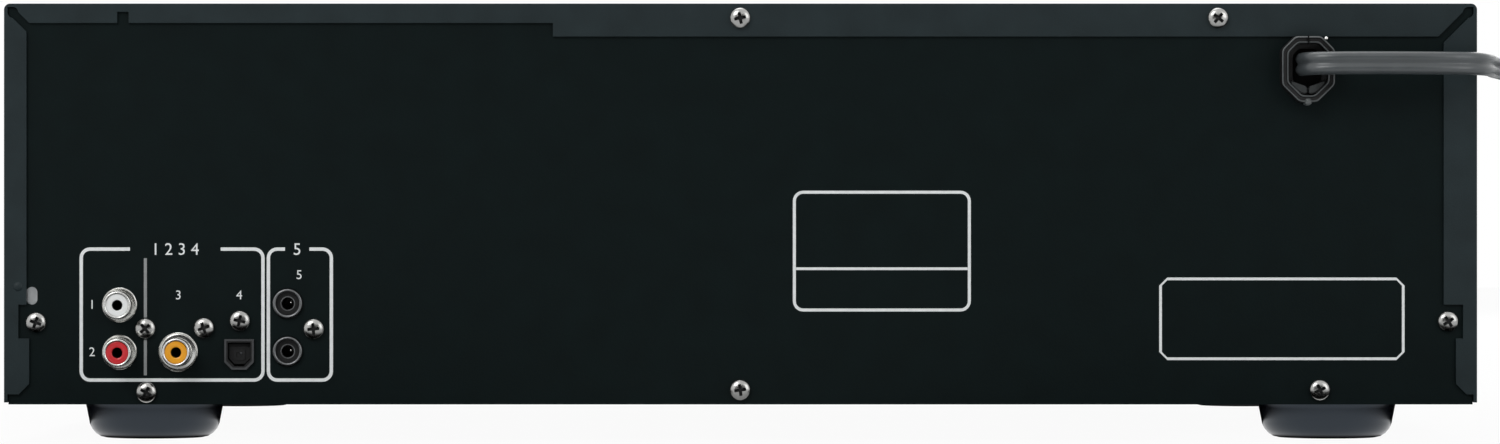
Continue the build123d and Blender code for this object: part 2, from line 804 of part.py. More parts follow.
# Two-blade plug on the end of the cord, lying on the floor
plug_height = 2 * plug_start.Z - 0.1
plug_plane = Plane(origin=plug_start, x_dir=(1, 0, 0), z_dir=(0, 1, 0))
with BuildPart() as power_plug:
    with BuildSketch(plug_plane):
        RectangleRounded(9, 9, 2)
    with BuildSketch(plug_plane.offset(plug_nose_length)):
        RectangleRounded(plug_width * 0.8, plug_height * 0.8, 4)
    loft()
    with BuildSketch(plug_plane.offset(plug_nose_length)):
        RectangleRounded(plug_width * 0.8, plug_height * 0.8, 4)
    with BuildSketch(plug_plane.offset(plug_length)):
        RectangleRounded(plug_width, plug_height, 4)
    loft()
finish(power_plug, "power_plug")

with BuildPart() as plug_blades:
    with BuildSketch(plug_plane.offset(plug_length)):
        with Locations((-blade_spacing / 2, 0), (blade_spacing / 2, 0)):
            Rectangle(blade_thickness, blade_width)
    extrude(amount=blade_length)
    chamfer(faces().sort_by(Axis.Y)[-2:].edges().filter_by(Axis.Z), 0.5)
finish(plug_blades, "plug_blades")

# Drawer: floor with a rounded back, slot for the raised traverse, wall round the carousel and runners
hub_post_top = carousel_top + running_gap
carousel_pitch = ring_gear_teeth * ring_gear_module / 2
carousel_pinion_radius = carousel_pinion_teeth * ring_gear_module / 2
drive_angle = radians(carousel_drive_angle)
drive_reach = carousel_pitch + carousel_pinion_radius
wheel_centre = (drive_reach * cos(drive_angle), carousel_y + drive_reach * sin(drive_angle))
wheel_radius = carousel_wheel_teeth * small_module / 2
motor_reach = wheel_radius + motor_pinion_teeth * small_module / 2
motor_angle = radians(carousel_motor_angle)
motor_centre = (wheel_centre[0] + motor_reach * cos(motor_angle), wheel_centre[1] + motor_reach * sin(motor_angle))
wheel_shaft_radius = 2.0
shaft_clearance = 0.08
wheel_top = drawer_floor - running_gap
wheel_thickness = 3.6
pinion_bottom = drawer_floor_top + running_gap
pinion_top = carousel_underside - running_gap
motor_flange_z = 71.2
rack_length_teeth = ceil((drawer_travel + 24) / (pi * rack_module))
rack_middle_y = loading_y + drawer_travel / 2
rack_gap_y = loading_y + round(drawer_travel / 2 / (pi * rack_module)) * pi * rack_module
rack_gap_y += 0 if rack_length_teeth % 2 == 0 else pi * rack_module / 2
drawer_inner_radius = carousel_radius + 1.2
drawer_slot_front = lift_front - 1.5
drawer_slot_length = 120.0

with BuildPart() as drawer:
    with BuildSketch(Plane.XY.offset(drawer_floor)):
        with Locations((0, carousel_y)):
            Circle(drawer_half_width)
        with Locations((0, (drawer_front_end + drawer_straight_end) / 2)):
            Rectangle(2 * drawer_half_width, drawer_straight_end - drawer_front_end)
    extrude(amount=drawer_floor_thickness)
    with BuildSketch(Plane.XY.offset(drawer_floor_top)):
        with Locations((0, carousel_y)):
            Circle(drawer_half_width)
            Circle(drawer_inner_radius, mode=Mode.SUBTRACT)
    extrude(amount=drawer_wall_top - drawer_floor_top)
    with BuildSketch(Plane.XY.offset(drawer_floor_top)):
        with Locations((0, carousel_y)):
            Circle(glide_outer)
            Circle(glide_inner, mode=Mode.SUBTRACT)
    extrude(amount=carousel_skirt_bottom - glide_clearance - drawer_floor_top)
    with BuildSketch(Plane.XY.offset(drawer_floor)):
        with Locations((0, drawer_slot_front + drawer_slot_length / 2)):
            Rectangle(2 * drawer_slot_half_width, drawer_slot_length)
    extrude(amount=20, mode=Mode.SUBTRACT)
    for side in (1, -1):
        with BuildSketch(Plane.XY.offset(runner_bottom)):
            with Locations((side * (drawer_half_width + runner_reach / 2 - 1),
                            (runner_front + drawer_straight_end) / 2)):
                Rectangle(runner_reach + 2, drawer_straight_end - runner_front)
        extrude(amount=runner_height)
        with BuildSketch(Plane.XY.offset(drawer_floor)):
            with Locations((side * (drawer_half_width - 1), (runner_front + drawer_straight_end) / 2)):
                Rectangle(2, drawer_straight_end - runner_front)
        extrude(amount=runner_bottom + runner_height - drawer_floor)
    with BuildSketch(Plane.XY.offset(drawer_floor_top)):
        with Locations((0, drawer_front_end + 1)):
            Rectangle(2 * drawer_half_width, 2)
    extrude(amount=9)
    with BuildSketch(Plane.XY.offset(drawer_floor_top)):
        with Locations((0, carousel_y)):
            Circle(hub_post_radius + 6)
    extrude(amount=1.5)
    with BuildSketch(Plane.XY.offset(drawer_floor_top)):
        with Locations((0, carousel_y)):
            Circle(hub_post_radius)
    extrude(amount=hub_post_top - drawer_floor_top)
    with Locations((0, carousel_y, hub_post_top)):
        Hole(1.6, depth=8)
    with BuildSketch(Plane(origin=(rack_x, 0, drawer_floor - rack_height))):
        rack(rack_module, rack_length_teeth, 5.0, rack_gap_y, -1)
    extrude(amount=rack_height)
    with Locations((*wheel_centre, drawer_floor_top)):
        Hole(wheel_shaft_radius + shaft_clearance, depth=drawer_floor_thickness)
    with BuildSketch(Plane.XY.offset(motor_flange_z)):
        with Locations((motor_centre[0], motor_centre[1] + motor_radius - 2),
                       (motor_centre[0] + motor_radius - 2, motor_centre[1])):
            Circle(2)
    extrude(amount=drawer_floor - motor_flange_z)
finish(drawer, "drawer")

# Drawer front: the door strip with a finger lip and two ribs behind it
with BuildPart() as drawer_front:
    with BuildSketch(Plane.XY.offset(door_bottom)):
        with Locations((0, front_face + 0.6 + door_thickness / 2)):
            Rectangle(2 * door_half_width, door_thickness)
    extrude(amount=door_top - door_bottom)
    fillet(edges().filter_by(Axis.X).group_by(Axis.Y)[0], 1.2)
    with BuildSketch(Plane.XY.offset(door_top - 3)):
        with Locations((0, front_face + 0.6 + door_thickness + 2)):
            Rectangle(2 * door_half_width - 12, 4)
    extrude(amount=2)
    with BuildSketch(Plane.XY.offset(drawer_floor_top + 9)):
        with Locations(*[(x, front_face + 0.6 + door_thickness + 3) for x in (-120, 0, 120)]):
            Rectangle(2.5, 6)
    extrude(amount=door_top - 3 - drawer_floor_top - 9)
finish(drawer_front, "drawer_front")

# Carousel: six stepped pockets, each with a slot out to the rim, and a ring gear underneath
carousel_plane = Plane(origin=(0, carousel_y, 0))
slot_round = slot_inner_radius + slot_half_width
with BuildPart() as carousel:
    with BuildSketch(carousel_plane.offset(carousel_underside)):
        Circle(carousel_radius)
    extrude(amount=carousel_top - carousel_underside)
    with BuildSketch(carousel_plane.offset(carousel_skirt_bottom)):
        Circle(carousel_radius)
        Circle(carousel_radius - carousel_skirt, mode=Mode.SUBTRACT)
    extrude(amount=carousel_underside - carousel_skirt_bottom)
    with BuildSketch(carousel_plane.offset(large_disc_floor)):
        with PolarLocations(pocket_orbit, pocket_count, 90):
            Circle(large_pocket_radius)
    extrude(amount=carousel_top - large_disc_floor, mode=Mode.SUBTRACT)
    with BuildSketch(carousel_plane.offset(small_disc_floor)):
        with PolarLocations(pocket_orbit, pocket_count, 90):
            Circle(small_pocket_radius)
    extrude(amount=large_disc_floor - small_disc_floor, mode=Mode.SUBTRACT)
    with BuildSketch(carousel_plane.offset(carousel_skirt_bottom - 1)):
        with PolarLocations(slot_round, pocket_count, 90):
            Circle(slot_half_width)
        with PolarLocations(slot_round + 50, pocket_count, 90):
            Rectangle(100, 2 * slot_half_width)
    extrude(amount=10, mode=Mode.SUBTRACT)
    with BuildSketch(carousel_plane.offset(carousel_underside)):
        Circle(52)
        Circle(hub_boss_radius, mode=Mode.SUBTRACT)
        with PolarLocations(163, pocket_count, 60):
            Circle(14)
    extrude(amount=carousel_top - carousel_underside - 2, mode=Mode.SUBTRACT)
    with BuildSketch(carousel_plane.offset(drawer_floor_top + 1.5 + running_gap)):
        Circle(hub_boss_radius)
    extrude(amount=carousel_underside - drawer_floor_top - 1.5)
    with BuildSketch(carousel_plane.offset(carousel_underside - ring_gear_height)):
        spur(ring_gear_teeth, ring_gear_module, carousel_drive_angle, 1)
        Circle(carousel_pitch - 6, mode=Mode.SUBTRACT)
    extrude(amount=ring_gear_height)
    with Locations((0, carousel_y, carousel_top)):
        Hole(hub_post_radius + hub_clearance)
finish(carousel, "carousel")

with BuildPart() as hub_cap:
    with BuildSketch(carousel_plane.offset(hub_post_top)):
        Circle(hub_cap_radius)
    extrude(amount=hub_cap_height)
    fillet(edges().group_by(Axis.Z)[-1], 2)
finish(hub_cap, "hub_cap")

# Carousel drive under the drawer: motor, its pinion, and the wheel whose pinion turns the ring gear
motor_height = 11.0
with BuildPart() as carousel_motor:
    with BuildSketch(Plane(origin=(*motor_centre, motor_flange_z - motor_height))):
        Circle(motor_radius)
    extrude(amount=motor_height)
    fillet(edges().group_by(Axis.Z)[0], 1.2)
    with BuildSketch(Plane(origin=(*motor_centre, motor_flange_z))):
        Circle(1.0)
    extrude(amount=drawer_floor - running_gap - motor_flange_z)
finish(carousel_motor, "carousel_motor")

carousel_motor_phase = carousel_motor_angle + 180 + 180 / motor_pinion_teeth
with BuildPart() as carousel_motor_gear:
    with BuildSketch(Plane(origin=(*motor_centre, motor_flange_z + running_gap))):
        spur(motor_pinion_teeth, small_module, carousel_motor_phase)
        Circle(1.0 + shaft_clearance, mode=Mode.SUBTRACT)
    extrude(amount=drawer_floor - 2 * running_gap - motor_flange_z)
finish(carousel_motor_gear, "carousel_motor_gear")

with BuildPart() as carousel_gear:
    with BuildSketch(Plane(origin=(*wheel_centre, wheel_top - wheel_thickness))):
        spur(carousel_wheel_teeth, small_module, carousel_motor_angle)
    extrude(amount=wheel_thickness)
    with BuildSketch(Plane(origin=(*wheel_centre, wheel_top))):
        Circle(wheel_shaft_radius)
    extrude(amount=pinion_bottom - wheel_top)
    with BuildSketch(Plane(origin=(*wheel_centre, pinion_bottom))):
        spur(carousel_pinion_teeth, ring_gear_module, carousel_drive_angle + 180 + 180 / carousel_pinion_teeth)
    extrude(amount=pinion_top - pinion_bottom)
finish(carousel_gear, "carousel_gear")

# Deck: moulded plate on posts, open to the rear for the lift, with guide walls for the lift pins
deck_half_width = 140.0
deck_front_end = -172.0
deck_rear_end = 203.0
deck_opening_half = guide_wall_inner
deck_opening_front = slider_front - slider_travel - 1.0
guide_wall_bottom = 43.0
guide_wall_top = 72.0
guide_ledge = 2.6
loading_pinion_radius = loading_pinion_teeth * rack_module / 2
loading_x = rack_x - loading_pinion_radius
lift_wheel_radius = lift_wheel_teeth * small_module / 2
lift_pinion_radius = lift_pinion_teeth * small_module / 2
lift_rack_x = lift_gear_x - lift_pinion_radius
lift_motor_reach = lift_wheel_radius + motor_pinion_teeth * small_module / 2
lift_motor = (lift_gear_x + lift_motor_reach * cos(radians(lift_motor_angle)),
              lift_gear_y + lift_motor_reach * sin(radians(lift_motor_angle)))
gear_pin_radius = 1.5
loading_gear_height = drawer_floor - 0.6 - deck_top - running_gap

with BuildPart() as mechanism_deck:
    with BuildSketch(Plane.XY.offset(deck_top - deck_sheet)):
        with Locations((0, (deck_front_end + deck_rear_end) / 2)):
            Rectangle(2 * deck_half_width, deck_rear_end - deck_front_end)
        with Locations((0, (deck_opening_front + deck_rear_end) / 2 + 5)):
            Rectangle(2 * deck_opening_half, deck_rear_end - deck_opening_front + 10, mode=Mode.SUBTRACT)
        with Locations((deck_half_width, deck_rear_end), (-deck_half_width, deck_rear_end)):
            Rectangle(100, 120, mode=Mode.SUBTRACT)
        with Locations(lift_motor, (loading_motor_x, loading_y)):
            Circle(1.5, mode=Mode.SUBTRACT)
    extrude(amount=deck_sheet)
    with BuildSketch(Plane.XY.offset(deck_top - 8)):
        with Locations((0, deck_front_end + 1)):
            Rectangle(2 * deck_half_width, 2)
        with Locations((deck_half_width - 1, (deck_front_end + 140) / 2), (1 - deck_half_width, (deck_front_end + 140) / 2)):
            Rectangle(2, 140 - deck_front_end)
    extrude(amount=6)
    with BuildSketch(Plane.XY.offset(base_floor)):
        with Locations(*deck_post_places):
            Circle(deck_post_radius)
    extrude(amount=deck_top - deck_sheet - base_floor)
    for side in (1, -1):
        wall_middle = side * (guide_wall_inner + guide_wall_thickness / 2)
        with BuildSketch(Plane.XY.offset(guide_wall_bottom)):
            with Locations((wall_middle, (guide_wall_front + deck_rear_end) / 2)):
                Rectangle(guide_wall_thickness, deck_rear_end - guide_wall_front)
        extrude(amount=guide_wall_top - guide_wall_bottom)
        with BuildSketch(Plane.XY.offset(guide_wall_bottom)):
            with Locations((side * (guide_wall_inner - guide_ledge / 2), (guide_wall_front + deck_rear_end) / 2)):
                Rectangle(guide_ledge, deck_rear_end - guide_wall_front)
        extrude(amount=cheek_bottom - running_gap - guide_wall_bottom)
        with BuildSketch(Plane(origin=(side * guide_wall_inner, 0, 0), x_dir=(0, side, 0), z_dir=(side, 0, 0))):
            with Locations(*[(side * y, lift_pin_height + lift_travel / 2) for y in lift_pin_ys]):
                SlotOverall(lift_travel + 2 * (lift_pin_radius + pin_clearance) + 1,
                            2 * (lift_pin_radius + pin_clearance), rotation=90)
        extrude(amount=guide_wall_thickness, mode=Mode.SUBTRACT)
    with BuildSketch(Plane.XY.offset(deck_top)):
        with Locations((loading_x, loading_y)):
            Circle(gear_pin_radius)
    extrude(amount=loading_gear_height)
    with BuildSketch(Plane.XY.offset(deck_top)):
        with Locations((lift_gear_x, lift_gear_y)):
            Circle(gear_pin_radius)
    extrude(amount=9.5)
finish(mechanism_deck, "mechanism_deck")

deck_motor_height = 21.0
with BuildPart() as deck_motors:
    for centre in (lift_motor, (loading_motor_x, loading_y)):
        with BuildSketch(Plane(origin=(*centre, deck_top - deck_sheet - deck_motor_height))):
            Circle(motor_radius + 1)
        extrude(amount=deck_motor_height)
        with BuildSketch(Plane(origin=(*centre, deck_top - deck_sheet))):
            Circle(1.0)
        extrude(amount=deck_sheet + 8)
finish(deck_motors, "deck_motors")

# Loading drive: belt pulley with the pinion that works the drawer's rack
pulley_bottom = deck_top + running_gap
pulley_height = 5.0
groove_depth = 1.4
with BuildPart() as drawer_gear:
    with BuildSketch(Plane(origin=(loading_x, loading_y, pulley_bottom))):
        Circle(loading_pulley_radius)
    extrude(amount=pulley_height)
    with BuildSketch(Plane(origin=(loading_x, loading_y, pulley_bottom + 1.5))):
        Circle(loading_pulley_radius)
        Circle(loading_pulley_radius - groove_depth, mode=Mode.SUBTRACT)
    extrude(amount=pulley_height - 3, mode=Mode.SUBTRACT)
    with BuildSketch(Plane(origin=(loading_x, loading_y, pulley_bottom + pulley_height))):
        Circle(loading_pinion_radius - 3)
    extrude(amount=5)
    with BuildSketch(Plane(origin=(loading_x, loading_y, drawer_floor - rack_height))):
        spur(loading_pinion_teeth, rack_module, 0)
    extrude(amount=rack_height - 0.6)
    with BuildSketch(Plane(origin=(loading_x, loading_y, pulley_bottom + pulley_height + 5))):
        Circle(loading_pinion_radius - 3)
    extrude(until=Until.NEXT)
    with Locations((loading_x, loading_y, drawer_floor)):
        Hole(gear_pin_radius + shaft_clearance)
finish(drawer_gear, "drawer_gear")

with BuildPart() as motor_pulley:
    with BuildSketch(Plane(origin=(loading_motor_x, loading_y, pulley_bottom))):
        Circle(motor_pulley_radius)
    extrude(amount=pulley_height)
    with BuildSketch(Plane(origin=(loading_motor_x, loading_y, pulley_bottom + 1.5))):
        Circle(motor_pulley_radius)
        Circle(motor_pulley_radius - groove_depth, mode=Mode.SUBTRACT)
    extrude(amount=pulley_height - 3, mode=Mode.SUBTRACT)
    with Locations((loading_motor_x, loading_y, pulley_bottom + pulley_height)):
        Hole(1.0 + shaft_clearance)
finish(motor_pulley, "motor_pulley")

belt_big = loading_pulley_radius - groove_depth + belt_clearance
belt_small = motor_pulley_radius - groove_depth + belt_clearance
with BuildPart() as loading_belt:
    with BuildSketch(Plane(origin=(0, 0, pulley_bottom + 1.5 + 0.2))):
        with Locations((loading_x, loading_y)):
            Circle(belt_big + belt_size)
        with Locations((loading_motor_x, loading_y)):
            Circle(belt_small + belt_size)
        make_hull()
    extrude(amount=belt_size)
    with BuildSketch(Plane(origin=(0, 0, pulley_bottom + 1.5 + 0.2))):
        with Locations((loading_x, loading_y)):
            Circle(belt_big)
        with Locations((loading_motor_x, loading_y)):
            Circle(belt_small)
        make_hull()
    extrude(amount=belt_size, mode=Mode.SUBTRACT)
finish(loading_belt, "loading_belt")

# Lift drive: motor pinion, wheel with pinion, and the slider whose inclined slots raise the traverse
lift_pinion_bottom = slider_plate_bottom
lift_pinion_height = slider_plate_thickness
lift_wheel_bottom = lift_pinion_bottom + lift_pinion_height + 0.5
with BuildPart() as lift_gear:
    with BuildSketch(Plane(origin=(lift_gear_x, lift_gear_y, deck_top + running_gap))):
        spur(lift_pinion_teeth, small_module, 180)
    extrude(amount=lift_wheel_bottom - deck_top - running_gap)
    with BuildSketch(Plane(origin=(lift_gear_x, lift_gear_y, lift_wheel_bottom))):
        spur(lift_wheel_teeth, small_module, lift_motor_angle)
    extrude(amount=3)
    with Locations((lift_gear_x, lift_gear_y, lift_wheel_bottom + 3)):
        Hole(gear_pin_radius + shaft_clearance)
finish(lift_gear, "lift_gear")

with BuildPart() as lift_motor_gear:
    with BuildSketch(Plane(origin=(*lift_motor, lift_wheel_bottom - 1))):
        spur(motor_pinion_teeth, small_module, lift_motor_angle + 180 + 180 / motor_pinion_teeth)
        Circle(1.0 + shaft_clearance, mode=Mode.SUBTRACT)
    extrude(amount=4.5)
finish(lift_motor_gear, "lift_motor_gear")

slot_rise = degrees(atan2(lift_travel, slider_travel))
lift_rack_teeth = 14
cheek_step = lift_gear_y + lift_wheel_radius + slider_travel + 1.0
slider_plate_top = slider_plate_bottom + slider_plate_thickness
lift_rack_gap = lift_gear_y + round(slider_travel / 2 / (pi * small_module)) * pi * small_module
with BuildPart() as lift_slider:
    for side in (1, -1):
        inner = side * cheek_inner
        cheek_side = Plane(origin=(inner, 0, 0), x_dir=(0, side, 0), z_dir=(side, 0, 0))
        with BuildSketch(cheek_side):
            with Locations((side * (cheek_step + cheek_rear) / 2, (cheek_bottom + cheek_top) / 2)):
                Rectangle(cheek_rear - cheek_step, cheek_top - cheek_bottom)
            with Locations((side * (cheek_front + cheek_step) / 2, (cheek_bottom + slider_plate_top) / 2)):
                Rectangle(cheek_step - cheek_front, slider_plate_top - cheek_bottom)
            with Locations((side * (slider_front + cheek_front) / 2, slider_plate_bottom + slider_plate_thickness / 2)):
                Rectangle(cheek_front - slider_front, slider_plate_thickness)
            for y in lift_pin_ys:
                with Locations((side * (y + slider_travel / 2), lift_pin_height + lift_travel / 2)):
                    SlotOverall(hypot(lift_travel, slider_travel) + 2 * (lift_pin_radius + pin_clearance) + 1,
                                2 * (lift_pin_radius + pin_clearance), rotation=side * slot_rise,
                                mode=Mode.SUBTRACT)
        extrude(amount=cheek_thickness)
    with BuildSketch(Plane.XY.offset(slider_plate_bottom)):
        with Locations((0, slider_front + 9)):
            Rectangle(2 * cheek_inner, 18)
    extrude(amount=slider_plate_thickness / 2)
    with BuildSketch(Plane(origin=(lift_rack_x, 0, slider_plate_bottom))):
        rack(small_module, lift_rack_teeth, lift_rack_x - cheek_inner - cheek_thickness, lift_rack_gap, 1)
    extrude(amount=slider_plate_thickness)
finish(lift_slider, "lift_slider")

# Lift frame: tray with pins that run in the slider's slots and the deck's upright slots
pin_end = guide_wall_inner + guide_wall_thickness
motor_seat = lift_plate_bottom + lift_plate_thickness
sled_pinion_radius = sled_pinion_teeth * sled_module / 2
rack_bar_x = 15.5
sled_centre = (rack_bar_x - sled_pinion_radius, spindle_y + 11.5)
read_start = spindle_y + disc_inner_read
rod_front = 145.5
rod_support = 3.0
with BuildPart() as lift_frame:
    with BuildSketch(Plane.XY.offset(lift_plate_bottom)):
        with Locations((0, (lift_front + lift_rear) / 2)):
            Rectangle(2 * lift_half_width, lift_rear - lift_front)
        with Locations((0, read_start + pickup_travel / 2)):
            Rectangle(18, pickup_travel + 12, mode=Mode.SUBTRACT)
        with Locations(sled_centre):
            Circle(2.0, mode=Mode.SUBTRACT)
    extrude(amount=lift_plate_thickness)
    for side in (1, -1):
        with BuildSketch(Plane.XY.offset(lift_pin_height - 3)):
            with Locations((side * (lift_half_width - 1), (lift_front + lift_rear) / 2)):
                Rectangle(2, lift_rear - lift_front)
        extrude(amount=lift_wall_top - lift_pin_height + 3)
        for y in lift_pin_ys:
            with BuildSketch(Plane(origin=(side * lift_half_width, y, lift_pin_height), z_dir=(side, 0, 0))):
                Circle(lift_pin_radius)
            extrude(amount=pin_end - lift_half_width)
        for y in (rod_front + rod_support / 2, lift_rear - rod_support / 2):
            with BuildSketch(Plane.XY.offset(motor_seat)):
                with Locations((side * rod_x, y)):
                    Rectangle(5.5, rod_support)
            extrude(amount=rod_height + 2.5 - motor_seat)
            with BuildSketch(Plane(origin=(side * rod_x, y - rod_support / 2, rod_height), z_dir=(0, 1, 0))):
                Circle(rod_radius)
            extrude(amount=rod_support, mode=Mode.SUBTRACT)
finish(lift_frame, "lift_frame")

turntable_bottom = turntable_plane - turntable_height
spindle_motor_radius = 11.0
sled_motor_height = 12.0
with BuildPart() as traverse_motors:
    with BuildSketch(Plane(origin=(0, spindle_y, motor_seat))):
        Circle(spindle_motor_radius)
    extrude(amount=turntable_bottom - running_gap - motor_seat)
    with BuildSketch(Plane(origin=(0, spindle_y, turntable_bottom - running_gap))):
        Circle(1.0)
    extrude(amount=4)
    with BuildSketch(Plane(origin=(*sled_centre, lift_plate_bottom - sled_motor_height))):
        Circle(10)
    extrude(amount=sled_motor_height)
    with BuildSketch(Plane(origin=(*sled_centre, lift_plate_bottom))):
        Circle(1.0)
    extrude(amount=lift_plate_thickness + 5)
finish(traverse_motors, "traverse_motors")

with BuildPart() as turntable:
    with BuildSketch(Plane.XZ):
        with BuildLine():
            Polyline((1.0 + shaft_clearance, turntable_bottom), (turntable_radius, turntable_bottom),
                     (turntable_radius, turntable_plane), (turntable_cone_radius + 0.6, turntable_plane),
                     (turntable_cone_radius, turntable_plane + 1.6), (turntable_cone_radius - 2, turntable_plane + 3),
                     (1.0 + shaft_clearance, turntable_plane + 3), (1.0 + shaft_clearance, turntable_bottom))
        make_face()
    revolve(axis=Axis.Z)
turntable_shape = turntable.part
with BuildPart() as turntable:
    with Locations((0, spindle_y, 0)):
        add(turntable_shape)
finish(turntable, "turntable")

# Pickup: block on two rods with the objective lens and the rack that the sled gear drives
pickup_half = 7.0
pickup_bottom = 63.5
pickup_top = 74.0
rack_bar_back = 2.2
rack_bar_height = 2.8
rack_bar_teeth = ceil((pickup_travel + 8) / (pi * sled_module))
rack_bar_gap = sled_centre[1] - round(pickup_travel / 2 / (pi * sled_module)) * pi * sled_module
rack_bar_gap += 0 if rack_bar_teeth % 2 == 0 else pi * sled_module / 2
with BuildPart() as pickup:
    with BuildSketch(Plane.XY.offset(pickup_bottom)):
        with Locations((0, read_start)):
            Rectangle(30, 2 * pickup_half)
    extrude(amount=pickup_top - pickup_bottom)
    fillet(edges().filter_by(Axis.Z), 2)
    with BuildSketch(Plane(origin=(0, read_start, rod_height)).offset(-3)):
        with Locations((-rod_x + 1, 0), (rod_x - 1, 0)):
            Rectangle(10, 10)
    extrude(amount=6)
    for side in (1, -1):
        with BuildSketch(Plane(origin=(side * rod_x, read_start - 10, rod_height), z_dir=(0, 1, 0))):
            Circle(rod_radius + shaft_clearance)
        extrude(amount=20, mode=Mode.SUBTRACT)
    with BuildSketch(Plane(origin=(0, read_start, pickup_top))):
        Circle(4.5)
    extrude(amount=0.8)
    with BuildSketch(Plane(origin=(0, read_start, pickup_top + 0.8))):
        Circle(3.0)
    extrude(amount=0.8)
    with BuildSketch(Plane(origin=(rack_bar_x, 0, pickup_bottom))):
        rack(sled_module, rack_bar_teeth, rack_bar_back, rack_bar_gap, -1)
    extrude(amount=rack_bar_height)
    with BuildSketch(Plane(origin=(rack_bar_x + rack_bar_back - 0.6, read_start - 6, pickup_bottom))):
        Rectangle(1.2, 6)
    extrude(amount=rack_bar_height)
finish(pickup, "pickup")

with BuildPart() as guide_rods:
    for side in (1, -1):
        with BuildSketch(Plane(origin=(side * rod_x, rod_front, rod_height), z_dir=(0, 1, 0))):
            Circle(rod_radius - 0.02)
        extrude(amount=lift_rear - rod_front)
finish(guide_rods, "guide_rods")

with BuildPart() as sled_gear:
    with BuildSketch(Plane(origin=(*sled_centre, motor_seat + running_gap))):
        spur(sled_pinion_teeth, sled_module, 0)
        Circle(1.0 + shaft_clearance, mode=Mode.SUBTRACT)
    extrude(amount=4.7)
finish(sled_gear, "sled_gear")

# Clamper in the bridge over the playing position
disc_plane = turntable_plane + lift_travel
clamper_bottom = disc_plane + disc_thickness + running_gap
clamper_neck = 6.0
clamper_collar = 11.0
bridge_top = bridge_underside + bridge_sheet
with BuildPart() as clamper:
    with BuildSketch(Plane.XZ):
        with BuildLine():
            Polyline((0, clamper_bottom + 3.4), (turntable_cone_radius - 1.2, clamper_bottom + 3.4),
                     (turntable_cone_radius + 1.4, clamper_bottom), (clamper_radius, clamper_bottom),
                     (clamper_radius, clamper_bottom + 3), (clamper_neck, clamper_bottom + 5),
                     (clamper_neck, bridge_top + running_gap), (clamper_collar, bridge_top + running_gap),
                     (clamper_collar, bridge_top + 2.3), (0, bridge_top + 2.3), (0, clamper_bottom + 3.4))
        make_face()
    revolve(axis=Axis.Z)
clamper_shape = clamper.part
with BuildPart() as clamper:
    with Locations((0, spindle_y, 0)):
        add(clamper_shape)
finish(clamper, "clamper")

# Drawer guides: rails on feet at both sides, each with the groove that holds the drawer's runner
guide_inner = drawer_half_width + 1.0
guide_outer = 206.0
guide_front_end = -181.0
guide_rear_end = 152.0
guide_bottom = 76.4
guide_top = 88.0
guide_foot_length = 16.0
guide_foot_ys = (-140.0, 0.0, 132.0)
with BuildPart() as drawer_guides:
    for side in (1, -1):
        middle = side * (guide_inner + guide_outer) / 2
        with BuildSketch(Plane.XY.offset(guide_bottom)):
            with Locations((middle, (guide_front_end + guide_rear_end) / 2)):
                Rectangle(guide_outer - guide_inner, guide_rear_end - guide_front_end)
        extrude(amount=guide_top - guide_bottom)
        with BuildSketch(Plane.XY.offset(runner_bottom - 0.2)):
            with Locations((side * (guide_inner + runner_reach / 2 - 0.4), 0)):
                Rectangle(runner_reach, 600)
        extrude(amount=runner_height + 0.4, mode=Mode.SUBTRACT)
        with BuildSketch(Plane.XY.offset(base_floor)):
            with Locations(*[(side * (guide_outer - 3), y) for y in guide_foot_ys]):
                Rectangle(6, guide_foot_length)
        extrude(amount=guide_bottom - base_floor)
finish(drawer_guides, "drawer_guides")

# Clamp bridge: folded strip across the drawer, standing on the guides
bridge_half_span = 204.0
bridge_leg_width = 1.4
bridge_lip = 4.0
with BuildPart() as clamp_bridge:
    with BuildSketch(Plane(origin=(0, spindle_y, bridge_underside))):
        Rectangle(2 * bridge_half_span, 2 * bridge_half_depth)
        Circle(clamper_neck + 1, mode=Mode.SUBTRACT)
    extrude(amount=bridge_sheet)
    with BuildSketch(Plane(origin=(0, spindle_y, bridge_top))):
        with Locations((0, bridge_half_depth - 0.7), (0, 0.7 - bridge_half_depth)):
            Rectangle(2 * bridge_half_span, 1.4)
    extrude(amount=bridge_lip)
    for side in (1, -1):
        with BuildSketch(Plane(origin=(side * (bridge_half_span - bridge_leg_width / 2), spindle_y, guide_top))):
            with Locations((0, -5)):
                Rectangle(bridge_leg_width, 2 * bridge_half_depth - 10)
        extrude(amount=bridge_underside - guide_top)
        with BuildSketch(Plane(origin=(side * (bridge_half_span - 4), spindle_y - 5, guide_top))):
            Rectangle(8, 2 * bridge_half_depth - 10)
        extrude(amount=bridge_leg_width)
finish(clamp_bridge, "clamp_bridge")

# Transformer and main board
transformer = (-178.0, 100.0)
core_size = (52.0, 28.0, 42.0)
with BuildPart() as power_transformer:
    with BuildSketch(Plane(origin=(*transformer, base_floor))):
        Rectangle(core_size[0], core_size[1])
    extrude(amount=core_size[2])
    with BuildSketch(Plane(origin=(*transformer, base_floor + 7))):
        RectangleRounded(34, 46, 5)
    extrude(amount=28)
    with BuildSketch(Plane(origin=(*transformer, base_floor))):
        Rectangle(core_size[0] + 10, 14)
    extrude(amount=1.5)
finish(power_transformer, "power_transformer")

